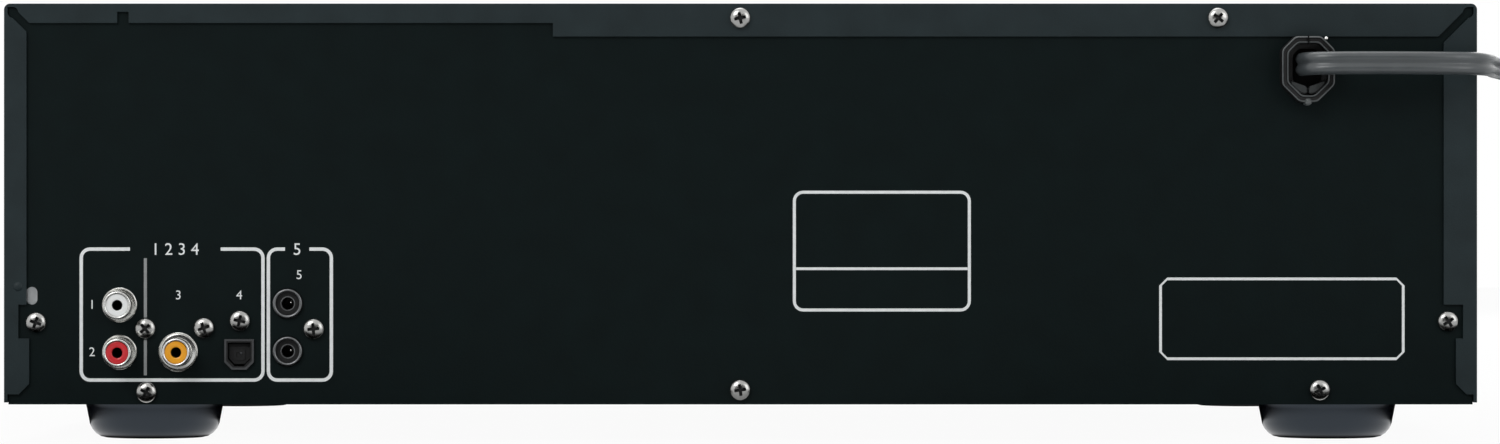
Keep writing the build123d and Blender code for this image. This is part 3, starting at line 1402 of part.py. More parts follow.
board_top = board_bottom + board_thickness
capacitor_places = [(80.0, 80.0), (96.0, 80.0), (112.0, 80.0), (84.0, 100.0)]
chip_places = [(150.0, 100.0), (120.0, 130.0)]
heat_sink = (170.0, 140.0)
with BuildPart() as main_board:
    with BuildSketch(Plane.XY.offset(board_bottom)):
        with Locations(((board_left + board_right) / 2, (board_front + board_rear) / 2)):
            Rectangle(board_right - board_left, board_rear - board_front)
        with Locations(*foot_places[3:]):
            Circle(screw_hole_radius + 2, mode=Mode.SUBTRACT)
    extrude(amount=board_thickness)
    with BuildSketch(Plane.XY.offset(board_top)):
        with Locations(*capacitor_places):
            Circle(6)
    extrude(amount=22)
    with BuildSketch(Plane.XY.offset(board_top)):
        with Locations(*chip_places):
            Rectangle(14, 14)
    extrude(amount=2)
    with BuildSketch(Plane(origin=(*heat_sink, board_top))):
        Rectangle(30, 2)
        with GridLocations(7, 0, 5, 1):
            with Locations((0, 6)):
                Rectangle(1.2, 12)
    extrude(amount=24)


# Front: moulded shell with the drawer opening, window, control holes and board bosses. It is made
# as one shape, then parted into the panel below the drawer and the rail and end posts round it.
button_places = {
    "power_button": ((-186.0, 54.0), (20.0, 8.0)),
    "open_close_button": ((118.0, 54.0), (16.0, 6.0)),
    "play_pause_button": ((94.0, 38.0), (16.0, 6.0)),
    "stop_button": ((118.0, 38.0), (16.0, 6.0)),
}
for disc in range(pocket_count):
    disc_x = (disc - (pocket_count - 1) / 2) * disc_button_pitch
    button_places["disc_" + str(disc + 1) + "_button"] = ((disc_x, disc_button_z), disc_button_size)
board_front_face = front_board_y - board_thickness
panel_inside = front_face + front_wall
switch_height = 4.0
boss_places = [(x, z) for x in (-206.0, 206.0) for z in (22.0, 60.0)]
window_middle = (window_bottom + window_top) / 2
window_height = window_top - window_bottom
window_ledge = 3.0
pane_thickness = 1.4
turning_controls = [(dial_x, dial_z), (knob_x, knob_z)]
control_shaft_radius = 3.0
button_corner = 1.5

front_seam = 0.05
opening_low = door_bottom - door_gap
opening_high = door_top + door_gap

with BuildPart() as front_shell:
    with BuildSketch(front_plane(front_face)):
        with Locations((0, case_bottom + case_height / 2)):
            RectangleRounded(case_width, case_height, 2.5)
    extrude(amount=-front_depth)
    fillet(edges().filter_by(GeomType.LINE).group_by(Axis.Y)[0], 2)
    with BuildSketch(front_plane(panel_inside)):
        with Locations((0, case_bottom + case_height / 2)):
            Rectangle(case_width - 2 * front_wall, case_height - 2 * front_wall)
    extrude(amount=front_wall - front_depth, mode=Mode.SUBTRACT)
    with BuildSketch(front_plane(panel_inside)):
        with Locations((0, door_bottom - door_gap - 1), (0, door_top + door_gap + 1)):
            Rectangle(case_width - 2 * front_wall, 2)
    extrude(amount=front_wall - front_depth)
    with BuildSketch(front_plane(front_face)):
        with Locations((0, (door_bottom + door_top) / 2)):
            Rectangle(2 * (door_half_width + door_gap), door_top - door_bottom + 2 * door_gap)
        with Locations((0, window_middle)):
            Rectangle(2 * (window_half_width - window_ledge), window_height - 2 * window_ledge)
        with Locations((phones_x, phones_z)):
            Circle(phones_rim - 1 + 0.15)
        with Locations(*turning_controls):
            Circle(control_shaft_radius + 0.3)
        for place, size in button_places.values():
            with Locations(place):
                RectangleRounded(size[0] + 2 * button_gap, size[1] + 2 * button_gap, button_corner + button_gap)
    extrude(amount=-front_wall, mode=Mode.SUBTRACT)
    with BuildSketch(front_plane(front_face)):
        with Locations((0, window_middle)):
            Rectangle(2 * window_half_width, window_height)
    extrude(amount=-pane_thickness, mode=Mode.SUBTRACT)
    with BuildSketch(front_plane(panel_inside)):
        with Locations(*boss_places):
            Circle(3.5)
    extrude(amount=panel_inside - board_front_face)

with BuildPart() as front_panel:
    add(front_shell.part)
    with BuildSketch(Plane.XY.offset(opening_low - front_seam)):
        Rectangle(2 * case_width, 2 * case_width)
    extrude(amount=case_height, mode=Mode.SUBTRACT)
finish(front_panel, "front_panel")

with BuildPart() as front_surround:
    add(front_shell.part)
    with BuildSketch(Plane.XY.offset(opening_low + front_seam)):
        Rectangle(2 * case_width, 2 * case_width)
    extrude(amount=-case_height, mode=Mode.SUBTRACT)
    with BuildSketch(Plane.XY.offset(opening_high - front_seam)):
        Rectangle(2 * case_width, 2 * case_width)
    extrude(amount=2 * front_seam, mode=Mode.SUBTRACT)
finish(front_surround, "front_surround")

with BuildPart() as display_window:
    with BuildSketch(front_plane(front_face)):
        with Locations((0, window_middle)):
            Rectangle(2 * window_half_width - 0.3, window_height - 0.3)
    extrude(amount=-pane_thickness)
finish(display_window, "display_window")

# Front board: switches, display tube, encoder and level control behind the panel
display_tube_size = (120.0, 18.0, 7.0)
encoder_height = 5.0
front_board_bottom = 17.0
front_board_top = 67.0
with BuildPart() as front_board:
    with BuildSketch(front_plane(board_front_face)):
        with Locations((0, (front_board_bottom + front_board_top) / 2)):
            Rectangle(424, front_board_top - front_board_bottom)
        with Locations((motor_centre[0], front_board_top)):
            Rectangle(2 * motor_radius + 5, 2 * (front_board_top - motor_flange_z + motor_height + 1.5),
                      mode=Mode.SUBTRACT)
    extrude(amount=-board_thickness)
    with BuildSketch(front_plane(board_front_face)):
        with Locations(*[place for place, size in button_places.values()]):
            Rectangle(6, 6)
    extrude(amount=switch_height)
    with BuildSketch(front_plane(board_front_face)):
        with Locations((0, window_middle)):
            Rectangle(display_tube_size[0], display_tube_size[1])
    extrude(amount=display_tube_size[2])
    with BuildSketch(front_plane(board_front_face)):
        with Locations(*turning_controls):
            Rectangle(12, 12)
    extrude(amount=encoder_height)

with BuildPart() as circuit_boards:
    add(main_board.part)
    add(front_board.part)
finish(circuit_boards, "circuit_boards")

with BuildPart() as phones_jack:
    with BuildSketch(front_plane(front_face)):
        with Locations((phones_x, phones_z)):
            Circle(phones_rim)
    extrude(amount=1.2)
    with BuildSketch(front_plane(front_face)):
        with Locations((phones_x, phones_z)):
            Circle(phones_rim - 1)
    extrude(amount=-front_wall)
    with BuildSketch(front_plane(panel_inside)):
        with Locations((phones_x, phones_z)):
            Rectangle(15, 16)
    extrude(amount=panel_inside - board_front_face)
    with BuildSketch(front_plane(front_face - 1.2)):
        with Locations((phones_x, phones_z)):
            Circle(phones_bore)
    extrude(amount=-24, mode=Mode.SUBTRACT)
finish(phones_jack, "phones_jack")

# Push buttons: cap, flange behind the panel and a stem that ends just before its switch
button_reach = 1.5
stem_end = board_front_face - switch_height - button_travel - 0.2
flange_front = panel_inside + running_gap
for name, (place, size) in button_places.items():
    with BuildPart() as button:
        with BuildSketch(front_plane(front_face - button_reach)):
            with Locations(place):
                RectangleRounded(size[0], size[1], button_corner)
        extrude(amount=front_face - button_reach - flange_front)
        chamfer(faces().sort_by(Axis.Y)[0].edges(), 0.4)
        with BuildSketch(front_plane(flange_front)):
            with Locations(place):
                Rectangle(size[0] + 2, size[1] + 2)
        extrude(amount=-button_flange)
        with BuildSketch(front_plane(flange_front + button_flange)):
            with Locations(place):
                Circle(2)
        extrude(amount=flange_front + button_flange - stem_end)
    finish(button, name)

# Turning controls on their shafts
turn_gap = 0.5
for name, place, radius, reach, mark in (("jog_dial", (dial_x, dial_z), dial_radius, dial_reach, 10.0),
                                         ("phones_knob", (knob_x, knob_z), knob_radius, knob_reach, 5.0)):
    with BuildPart() as control:
        with BuildSketch(front_plane(front_face - turn_gap)):
            with Locations(place):
                Circle(radius)
        extrude(amount=reach - turn_gap, taper=2)
        fillet(edges().group_by(Axis.Y)[0], 1)
        with BuildSketch(front_plane(front_face - reach)):
            with Locations((place[0], place[1] + mark)):
                Circle(radius * 0.2)
        extrude(amount=-1, mode=Mode.SUBTRACT)
        with BuildSketch(front_plane(front_face - turn_gap)):
            with Locations(place):
                Circle(control_shaft_radius)
        extrude(amount=front_face - turn_gap - board_front_face + encoder_height + running_gap)
    finish(control, name)
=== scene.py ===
# %% [markdown]
# # A carousel disc changer, seen from behind
# The object is a full-width hi-fi disc changer: a folded steel cover over a black rear panel, four
# round feet, a few sockets in the lower left corner and a two-core mains cord. The solid model gives
# every size and every moving part. This lesson gives it paint, plating, printing and a soft cord.
# All lengths are in metres, with +X to the right seen from the front, +Y to the back and +Z up.

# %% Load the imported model
import json
import math

import bmesh
import bpy
from mathutils import Matrix, Vector


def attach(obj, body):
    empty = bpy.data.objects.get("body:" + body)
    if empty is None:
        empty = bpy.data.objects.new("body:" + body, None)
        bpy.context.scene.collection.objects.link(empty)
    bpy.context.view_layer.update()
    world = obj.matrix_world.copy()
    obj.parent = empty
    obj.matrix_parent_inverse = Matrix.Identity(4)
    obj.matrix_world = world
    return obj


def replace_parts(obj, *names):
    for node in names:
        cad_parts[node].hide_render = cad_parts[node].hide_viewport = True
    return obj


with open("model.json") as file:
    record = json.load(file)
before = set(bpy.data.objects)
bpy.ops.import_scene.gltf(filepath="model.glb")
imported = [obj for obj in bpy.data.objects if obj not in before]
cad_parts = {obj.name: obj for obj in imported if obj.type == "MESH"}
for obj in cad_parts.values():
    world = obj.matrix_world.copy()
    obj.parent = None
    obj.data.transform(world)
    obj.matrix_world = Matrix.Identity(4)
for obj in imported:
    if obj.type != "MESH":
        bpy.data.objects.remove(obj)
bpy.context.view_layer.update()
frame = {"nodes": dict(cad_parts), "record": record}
parts = frame["nodes"]

# %% [markdown]
# ## The camera
# The picture was taken square on, from far behind, so no side and no top shows. One could use an
# orthographic camera, but a long lens gives the sockets their slight lean away from the middle.
# Its distance and focal length make the rear face fill the frame as it does in the picture.

# %% The camera behind the case
MM = 0.001
REAR_FACE = 208.0 * MM
camera_distance = 1.79
camera_across = -2.8 * MM
camera_height = 64.9 * MM
rear_view_width = 443.2 * MM
sensor_width = 36.0

rear_lens = bpy.data.cameras.new("rear_lens")
rear_lens.sensor_width = sensor_width
rear_lens.lens = sensor_width * camera_distance / rear_view_width
rear_lens.clip_start = 0.05
rear_lens.clip_end = 50.0
rear_camera = bpy.data.objects.new("rear_camera", rear_lens)
rear_camera.location = (camera_across, REAR_FACE + camera_distance, camera_height)
rear_camera.rotation_euler = (math.radians(90), 0, math.radians(180))
bpy.context.collection.objects.link(rear_camera)
bpy.context.scene.camera = rear_camera
print("lens", round(rear_lens.lens, 1), "mm at", camera_distance, "m")

# %% [markdown]
# ## Background and world
# A catalogue picture stands on plain white. The white could come from strong lamps, but those
# would grey the black paint. So only camera and mirror rays see a white world, and the world
# that really lights the object is dimmer.

# %% A white world with a dimmer light
def join(tree, source, target):
    """Link an output to an input of the same node tree."""
    tree.links.new(source, target)


def fill(node, **sockets):
    """Write plain values on a node's input sockets; an underscore stands for a space."""
    for socket, value in sockets.items():
        node.inputs[socket.replace("_", " ")].default_value = value


white_world = bpy.data.worlds.new("white_world")
bpy.context.scene.world = white_world
white_world.use_nodes = True
sky = white_world.node_tree
sky.nodes.clear()
rays = sky.nodes.new("ShaderNodeLightPath")
seen = sky.nodes.new("ShaderNodeMath")
seen.operation = "MAXIMUM"
join(sky, rays.outputs["Is Camera Ray"], seen.inputs[0])
join(sky, rays.outputs["Is Glossy Ray"], seen.inputs[1])
seen_through = sky.nodes.new("ShaderNodeMath")
seen_through.operation = "MAXIMUM"
join(sky, seen.outputs[0], seen_through.inputs[0])
join(sky, rays.outputs["Is Transmission Ray"], seen_through.inputs[1])
lighting = sky.nodes.new("ShaderNodeBackground")
world_strength = 0.42
fill(lighting, Color=(0.96, 0.98, 1.0, 1), Strength=world_strength)
backdrop = sky.nodes.new("ShaderNodeBackground")
fill(backdrop, Color=(1, 1, 1, 1))
chosen = sky.nodes.new("ShaderNodeMixShader")
join(sky, seen_through.outputs[0], chosen.inputs[0])
join(sky, lighting.outputs[0], chosen.inputs[1])
join(sky, backdrop.outputs[0], chosen.inputs[2])
sky_out = sky.nodes.new("ShaderNodeOutputWorld")
join(sky, chosen.outputs[0], sky_out.inputs["Surface"])
print("world light", world_strength)

# %% [markdown]
# ## The floor
# The floor uses the same trick as the world: the camera sees almost pure white, and a small share
# of real white paper under it keeps the shadow. Each glossy foot mirrors the floor beside it. In the
# picture its shine is a low arch with dark corners, as from one round pool of bright floor. So a pool of
# painted light round each foot, with painted dark round that, is seen by mirror rays only, by their
# distance from the nearest foot: the arch on each foot is a painted reflection.

# %% The floor sheet and its two looks
floor_half = 4.0
floor_mesh = bpy.data.meshes.new("studio_floor")
floor_corners = [(-floor_half, -floor_half, 0), (floor_half, -floor_half, 0),
                 (floor_half, floor_half, 0), (-floor_half, floor_half, 0)]
floor_mesh.from_pydata(floor_corners, [], [(0, 1, 2, 3)])
studio_floor = bpy.data.objects.new("studio_floor", floor_mesh)
bpy.context.collection.objects.link(studio_floor)
floor_paper = bpy.data.materials.new("floor_paper")
floor_paper.use_nodes = True
paper = floor_paper.node_tree
paper.nodes.clear()
paper_matt = paper.nodes.new("ShaderNodeBsdfDiffuse")
fill(paper_matt, Color=(0.93, 0.93, 0.93, 1))
paper_glow = paper.nodes.new("ShaderNodeEmission")
paper_mix = paper.nodes.new("ShaderNodeMixShader")
join(paper, paper_matt.outputs[0], paper_mix.inputs[1])
join(paper, paper_glow.outputs[0], paper_mix.inputs[2])
paper_out = paper.nodes.new("ShaderNodeOutputMaterial")
join(paper, paper_mix.outputs[0], paper_out.inputs["Surface"])
floor_mesh.materials.append(floor_paper)
print("floor", 2 * floor_half, "m across")

# %% Two helpers for sums on the floor
def paper_math(operation, *inputs):
    """One math node on the floor's tree, fed with outputs or plain numbers."""
    node = paper.nodes.new("ShaderNodeMath")
    node.operation = operation
    for socket, value in zip(node.inputs, inputs):
        if isinstance(value, (int, float)):
            socket.default_value = value
        else:
            join(paper, value, socket)
    return node.outputs[0]


def fade(distance, start, end, low, high):
    """A number that goes from low to high as the distance goes from start to end in mm."""
    node = paper.nodes.new("ShaderNodeMapRange")
    fill(node, From_Min=start * MM, From_Max=end * MM, To_Min=low, To_Max=high)
    join(paper, distance, node.inputs["Value"])
    return node.outputs["Result"]


print("floor helpers ready")

# %% Distance from the nearest foot
foot_x = 177.0
front_foot_y = -150.0
rear_foot_y = 168.0
feet_middle = (0, (front_foot_y + rear_foot_y) / 2 * MM, 0)
feet_spread = (foot_x * MM, (rear_foot_y - front_foot_y) / 2 * MM, 0)
nearest = paper.nodes.new("ShaderNodeTexCoord").outputs["Object"]
for operation, amount in (("SUBTRACT", feet_middle), ("ABSOLUTE", None), ("SUBTRACT", feet_spread)):
    step = paper.nodes.new("ShaderNodeVectorMath")
    step.operation = operation
    join(paper, nearest, step.inputs[0])
    if amount:
        step.inputs[1].default_value = amount
    nearest = step.outputs["Vector"]
reach = paper.nodes.new("ShaderNodeVectorMath")
reach.operation = "LENGTH"
join(paper, nearest, reach.inputs[0])
foot_distance = reach.outputs["Value"]
print("the same sum serves all four feet")

# %% What the camera and the mirrors see
glow_share = 0.95
# Painted reflection: mirror rays see glowing floor between pool_inside and pool_outside mm from a foot, and
# painted dark inside and outside that ring, fading back to the real paper across dark_ring.
pool_inside = (16, 17.5)
pool_outside = (37, 45)
dark_ring = (110, 160)
paper_rays = paper.nodes.new("ShaderNodeLightPath")
is_seen = paper_rays.outputs["Is Camera Ray"]
is_mirrored = paper_rays.outputs["Is Glossy Ray"]
pool_start = fade(foot_distance, *pool_inside, 0, 1)
pool_end = fade(foot_distance, *pool_outside, 1, 0)
pool = paper_math("MULTIPLY", pool_start, pool_end)
near_foot = fade(foot_distance, *dark_ring, 1, 0)
paper_strength = paper_math("MULTIPLY_ADD", is_mirrored, pool, is_seen)
seen_share = paper_math("MULTIPLY", is_seen, glow_share)
paper_share = paper_math("MULTIPLY_ADD", is_mirrored, near_foot, seen_share)
join(paper, paper_strength, paper_glow.inputs["Strength"])
join(paper, paper_share, paper_mix.inputs[0])
print("pool of light from", pool_inside[0], "to", pool_outside[1], "mm round each foot")

# %% [markdown]
# ## Lamps
# Soft boxes suit glossy black: a small lamp would show as a dot in every screw and foot. One wide
# lamp stands high at the upper left of the picture, a weaker one fills from the right, and two
# more light the top and the front evenly for the other views.

# %% Four soft boxes
def soft_box(name, place, target, size, power):
    """A square area lamp at a place, aimed at a target."""
    light = bpy.data.lights.new(name, "AREA")
    light.size = size
    light.energy = power
    lamp = bpy.data.objects.new(name, light)
    lamp.location = place
    aim = Vector(target) - Vector(place)
    lamp.rotation_euler = aim.to_track_quat("-Z", "Y").to_euler()
    bpy.context.collection.objects.link(lamp)
    return lamp


case_middle = (0, 0, 0.07)
soft_box("key_box", (0.9, 1.7, 1.3), case_middle, 0.9, 13)
soft_box("fill_box", (-1.4, 1.6, 0.7), case_middle, 1.1, 6)
soft_box("top_box", (0.2, -0.3, 2.0), case_middle, 1.4, 12)
soft_box("front_box", (-0.7, -1.9, 1.1), case_middle, 1.2, 14)
bpy.context.scene.view_settings.view_transform = "Standard"
print("4 soft boxes")

# %% [markdown]
# ## A black card behind the camera
# In the picture each round screw is dark in its middle and bright at its rim, because its middle
# mirrors the dark room behind the camera. A black card there does the same, and it keeps
# the white studio off the flat paint. It stands behind the lens, and other views don't show it.

# %% The card
card_mesh = bpy.data.meshes.new("black_card")
card_y = 2.15
card_half = 0.95
card_bottom = 0.002
card_top = 0.85
card_corners = [(-card_half, card_y, card_bottom), (card_half, card_y, card_bottom),
                (card_half, card_y, card_top), (-card_half, card_y, card_top)]
card_mesh.from_pydata(card_corners, [], [(0, 1, 2, 3)])
black_card = bpy.data.objects.new("black_card", card_mesh)
bpy.context.collection.objects.link(black_card)
black_card.visible_camera = False
card_felt = bpy.data.materials.new("card_felt")
card_felt.use_nodes = True
felt_shader = card_felt.node_tree.nodes["Principled BSDF"]
fill(felt_shader, Base_Color=(0.02, 0.02, 0.02, 1), Roughness=0.95, Specular_IOR_Level=0.05)
card_mesh.materials.append(card_felt)
print("card at", card_y, "m")

# %% [markdown]
# ## Finishes
# Every finish is one Principled shader. Its plain numbers stay on the shader's own sockets. Noise
# in the part's own space then shifts the colour and roughness a little and gives a fine bump, so
# no surface is one flat value and nothing slides when a part moves.

# %% A helper for finishes
finishes = {}


def new_finish(name, dark, light, rough, grain, bump, metallic=0.0, gloss=0.5, patch=9.0, **more):
    """A finish between two colours and two roughnesses; grain and patch are its noises' sizes in mm."""
    finish = bpy.data.materials.new(name)
    finish.use_nodes = True
    tree = finish.node_tree
    shader = tree.nodes["Principled BSDF"]
    fill(shader, Metallic=metallic, Specular_IOR_Level=gloss, **more)
    place = tree.nodes.new("ShaderNodeTexCoord").outputs["Object"]
    cloud = tree.nodes.new("ShaderNodeTexNoise")
    fill(cloud, Scale=1 / (patch * MM), Detail=4)
    join(tree, place, cloud.inputs["Vector"])
    tone = tree.nodes.new("ShaderNodeValToRGB")
    for stop, position, colour in zip(tone.color_ramp.elements, (0.3, 0.7), (dark, light)):
        stop.position = position
        stop.color = (*colour, 1)
    join(tree, cloud.outputs["Fac"], tone.inputs["Fac"])
    join(tree, tone.outputs["Color"], shader.inputs["Base Color"])
    dullness = tree.nodes.new("ShaderNodeMapRange")
    fill(dullness, To_Min=rough[0], To_Max=rough[1])
    join(tree, cloud.outputs["Fac"], dullness.inputs["Value"])
    join(tree, dullness.outputs["Result"], shader.inputs["Roughness"])
    fine = tree.nodes.new("ShaderNodeTexNoise")
    fill(fine, Scale=1 / (grain * MM), Detail=2)
    join(tree, place, fine.inputs["Vector"])
    relief = tree.nodes.new("ShaderNodeBump")
    fill(relief, Strength=bump, Distance=0.1 * MM)
    join(tree, fine.outputs["Fac"], relief.inputs["Height"])
    join(tree, relief.outputs["Normal"], shader.inputs["Normal"])
    finishes[name] = finish


def even(colour, spread=0.12):
    """A darker and a lighter neighbour of one colour."""
    return (tuple(c * (1 - spread) for c in colour), tuple(c * (1 + spread) for c in colour))


print("finish helper ready")

# %% [markdown]
# ## Paint, plating and plastics
# The cover has a fine satin paint, a shade lighter than the rear panel's. Both are almost black,
# and a low specular keeps the white studio from greying them. Screws and sockets are plated
# and bright. The feet are glossy blue-black, and the cord is a duller dark grey.

# %% The finishes of the outside
new_finish("cover_paint", *even((0.0125, 0.0212, 0.0238)), (0.42, 0.5), 0.55, 0.35, gloss=0.22)
new_finish("panel_paint", *even((0.0016, 0.0056, 0.0058)), (0.46, 0.56), 0.6, 0.3, gloss=0.1)
new_finish("foot_plastic", *even((0.003, 0.0045, 0.008)), (0.13, 0.18), 1.4, 0.05, gloss=0.65,
           Specular_Tint=(0.72, 0.85, 1.0, 1))
new_finish("black_plastic", *even((0.0065, 0.0068, 0.0072)), (0.4, 0.52), 0.5, 0.4, gloss=0.3)
new_finish("grey_plastic", *even((0.045, 0.047, 0.05)), (0.42, 0.52), 0.5, 0.35, gloss=0.4)
new_finish("zinc_steel", *even((0.56, 0.58, 0.59)), (0.24, 0.36), 0.35, 0.15, 1.0, patch=4.0)
new_finish("nickel", *even((0.74, 0.74, 0.72), 0.06), (0.14, 0.22), 0.3, 0.06, 1.0, patch=2.0)
new_finish("white_plastic", *even((0.84, 0.85, 0.84), 0.03), (0.22, 0.3), 0.4, 0.08)
new_finish("red_plastic", *even((0.62, 0.022, 0.03), 0.08), (0.22, 0.3), 0.4, 0.08)
new_finish("orange_plastic", *even((0.85, 0.36, 0.012), 0.08), (0.22, 0.3), 0.4, 0.08)
new_finish("cord_rubber", *even((0.05, 0.058, 0.062)), (0.3, 0.4), 0.6, 0.25, gloss=0.75)
new_finish("print_white", *even((0.78, 0.8, 0.8), 0.05), (0.5, 0.6), 0.3, 0.15, patch=1.5)
print(len(finishes), "finishes for the outside")

# %% [markdown]
# ## What lies inside
# The inside shows only round the open drawer, but each kind of part still has its own finish there:
# green boards, pale acetal gears, black rubber for the belt and a dark iron core. The window is
# smoked plastic. Tinted glass could be faked with a dark gloss, but real transmission lets the lit
# figures behind it through.

# %% The finishes of the inside
new_finish("board_green", (0.012, 0.075, 0.03), (0.02, 0.11, 0.045), (0.3, 0.4), 0.6, 0.3, patch=6.0)
new_finish("belt_rubber", *even((0.009, 0.009, 0.009)), (0.6, 0.75), 0.3, 0.4)
new_finish("acetal", *even((0.78, 0.76, 0.69), 0.05), (0.34, 0.44), 0.5, 0.12)
new_finish("brass_blade", *even((0.78, 0.6, 0.28), 0.06), (0.2, 0.3), 0.3, 0.1, 1.0, patch=3.0)
new_finish("core_steel", *even((0.16, 0.16, 0.17)), (0.36, 0.5), 0.4, 0.3, 0.9)
new_finish("window_smoke", *even((0.012, 0.012, 0.014)), (0.06, 0.1), 0.8, 0.02,
           Transmission_Weight=0.55, IOR=1.49)
print(len(finishes), "finishes in all")

# %% [markdown]
# ## Dressing the solid parts
# The record of the model says what each part is made of, so a loop gives every part its finish by that
# name. Where a finer shape is made below, the new piece takes the part's place.

# %% Dress every solid part
def dress(piece, finish):
    """Give every material slot of a piece the named finish."""
    if not piece.material_slots:
        piece.data.materials.append(finishes[finish])
    for place in piece.material_slots:
        place.material = finishes[finish]


for entry in frame["record"]["subparts"]:
    dress(parts[entry["node"]], entry["material_slot"])

# %% [markdown]
# ## Pieces added to the solid model
# Small round things carry the picture: screws, sockets and feet. Each could be a bevelled
# cylinder, but a turned profile gives true rolled edges with few points. So one helper turns
# a list of radius and height pairs about the axis of a seat, and another keeps the result.

# %% Helpers that keep and seat a piece
def keep(name, shape, finish, body="cabinet", sharp=38):
    """Make an object of bmesh data, dress it and let it ride on a body."""
    bmesh.ops.recalc_face_normals(shape, faces=shape.faces)
    mesh = bpy.data.meshes.new(name)
    shape.to_mesh(mesh)
    shape.free()
    mesh.polygons.foreach_set("use_smooth", [True] * len(mesh.polygons))
    mesh.set_sharp_from_angle(angle=math.radians(sharp))
    piece = bpy.data.objects.new(name, mesh)
    bpy.context.collection.objects.link(piece)
    dress(piece, finish)
    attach(piece, body)
    return piece


def rear_seat(x, z, proud=0.0):
    """Seat on the rear face at x, z in mm: its own Z looks out to the back."""
    turn = Matrix(((-1, 0, 0, 0), (0, 0, 1, 0), (0, 1, 0, 0), (0, 0, 0, 1)))
    return Matrix.Translation((x * MM, REAR_FACE + proud * MM, z * MM)) @ turn


print("pieces can be kept and seated")

# %% Helpers for loops of points and turned pieces
def loop_at(shape, seat, outline, height):
    """Points of an outline of pairs in mm, at a height in mm on a seat."""
    return [shape.verts.new(seat @ Vector((x * MM, z * MM, height * MM))) for x, z in outline]


def band(shape, first, second):
    """Faces between two loops of the same count."""
    count = len(first)
    for i in range(count):
        j = (i + 1) % count
        shape.faces.new([first[i], first[j], second[j], second[i]])


def bands_round(shape, loops):
    """Bands from each loop to the next, and from the last back to the first."""
    for first, second in zip(loops, loops[1:] + loops[:1]):
        band(shape, first, second)


def circle(radius, steps):
    """Outline of a circle."""
    angles = [math.tau * i / steps for i in range(steps)]
    return [(radius * math.cos(angle), radius * math.sin(angle)) for angle in angles]


def turned(shape, profile, seat, steps=40, closed=False):
    """Turn (radius, height) pairs in mm about the seat's own Z axis."""
    rings = []
    for radius, height in profile:
        outline = circle(radius, steps) if radius else [(0, 0)]
        rings.append(loop_at(shape, seat, outline, height))
    pairs = list(zip(rings, rings[1:]))
    if closed:
        pairs.append((rings[-1], rings[0]))
    for low, high in pairs:
        for i in range(steps):
            j = (i + 1) % steps
            corners = [low[i % len(low)], low[j % len(low)], high[j % len(high)], high[i % len(high)]]
            shape.faces.new(list(dict.fromkeys(corners)))


print("helpers for turned pieces ready")

# %% [markdown]
# ## Screws
# The case is held by zinc-plated pan-head screws with a cross recess. At this size the recess is what
# the eye reads, so it is really cut: a tapered cross is taken out of one turned head with a Boolean
# modifier. The finished screw is then copied to each of its seats with its own turn of the driver.

# %% A cross cutter and a Boolean
def cross_cutter():
    """Tapered cross, wider at the top, for the driver recess."""
    cutter = bmesh.new()
    loops = []
    for height, arm, half in ((0.5, 1.0, 0.3), (2.6, 2.15, 0.52)):
        quarter = [(arm, -half), (arm, half), (half, half)]
        quarter_turns = ((1, 0), (0, 1), (-1, 0), (0, -1))
        outline = [(x * c - y * s, x * s + y * c) for c, s in quarter_turns for x, y in quarter]
        loops.append(loop_at(cutter, Matrix(), outline, height))
    cutter.faces.new(loops[0])
    cutter.faces.new(loops[1])
    band(cutter, *loops)
    return cutter


def carved(shape, cutter):
    """Mesh of one shape less another, by an exact Boolean."""
    pair = []
    for name, data in (("blank", shape), ("cutter", cutter)):
        bmesh.ops.recalc_face_normals(data, faces=data.faces)
        mesh = bpy.data.meshes.new(name)
        data.to_mesh(mesh)
        data.free()
        pair.append(bpy.data.objects.new(name, mesh))
        bpy.context.collection.objects.link(pair[-1])
    cut = pair[0].modifiers.new("cut", "BOOLEAN")
    cut.operation = "DIFFERENCE"
    cut.solver = "EXACT"
    cut.use_self = True
    cut.object = pair[1]
    bpy.context.view_layer.update()
    made = bpy.data.meshes.new_from_object(pair[0].evaluated_get(bpy.context.evaluated_depsgraph_get()))
    for blank in pair:
        bpy.data.objects.remove(blank)
    return made


print("cutter and Boolean helper ready")

# %% [markdown]
# ## One finished screw
# The head's outline is turned once and cut once. The faces of the cut get a second, darker material:
# painted shade in the recess, where the head shades itself. Picking them by place is steadier than
# picking them by number, which changes whenever the profile does.

# %% The turned head and the painted shade in its recess
head_profile = [(0, -6.0), (1.2, -6.0), (1.4, -5.7), (1.4, -0.05), (1.45, 0), (3.02, 0), (3.1, 0.1),
                (3.1, 0.72), (3.04, 1.0), (2.86, 1.3), (2.55, 1.56), (2.1, 1.78), (1.5, 1.95),
                (0.8, 2.06), (0, 2.1)]
recess_radius = 1.9
recess_floor = 0.5
blank_screw = bmesh.new()
turned(blank_screw, head_profile, Matrix(), steps=36)
screw_mesh = carved(blank_screw, cross_cutter())
screw_mesh.materials.clear()
for face in screw_mesh.polygons:
    middle = face.center / MM
    in_recess = math.hypot(middle.x, middle.y) < recess_radius and middle.z > 0.3 and face.normal.z < 0.5
    face.material_index = 1 if in_recess or abs(middle.z - recess_floor) < 0.02 else 0
print("screw has", len(screw_mesh.polygons), "faces")

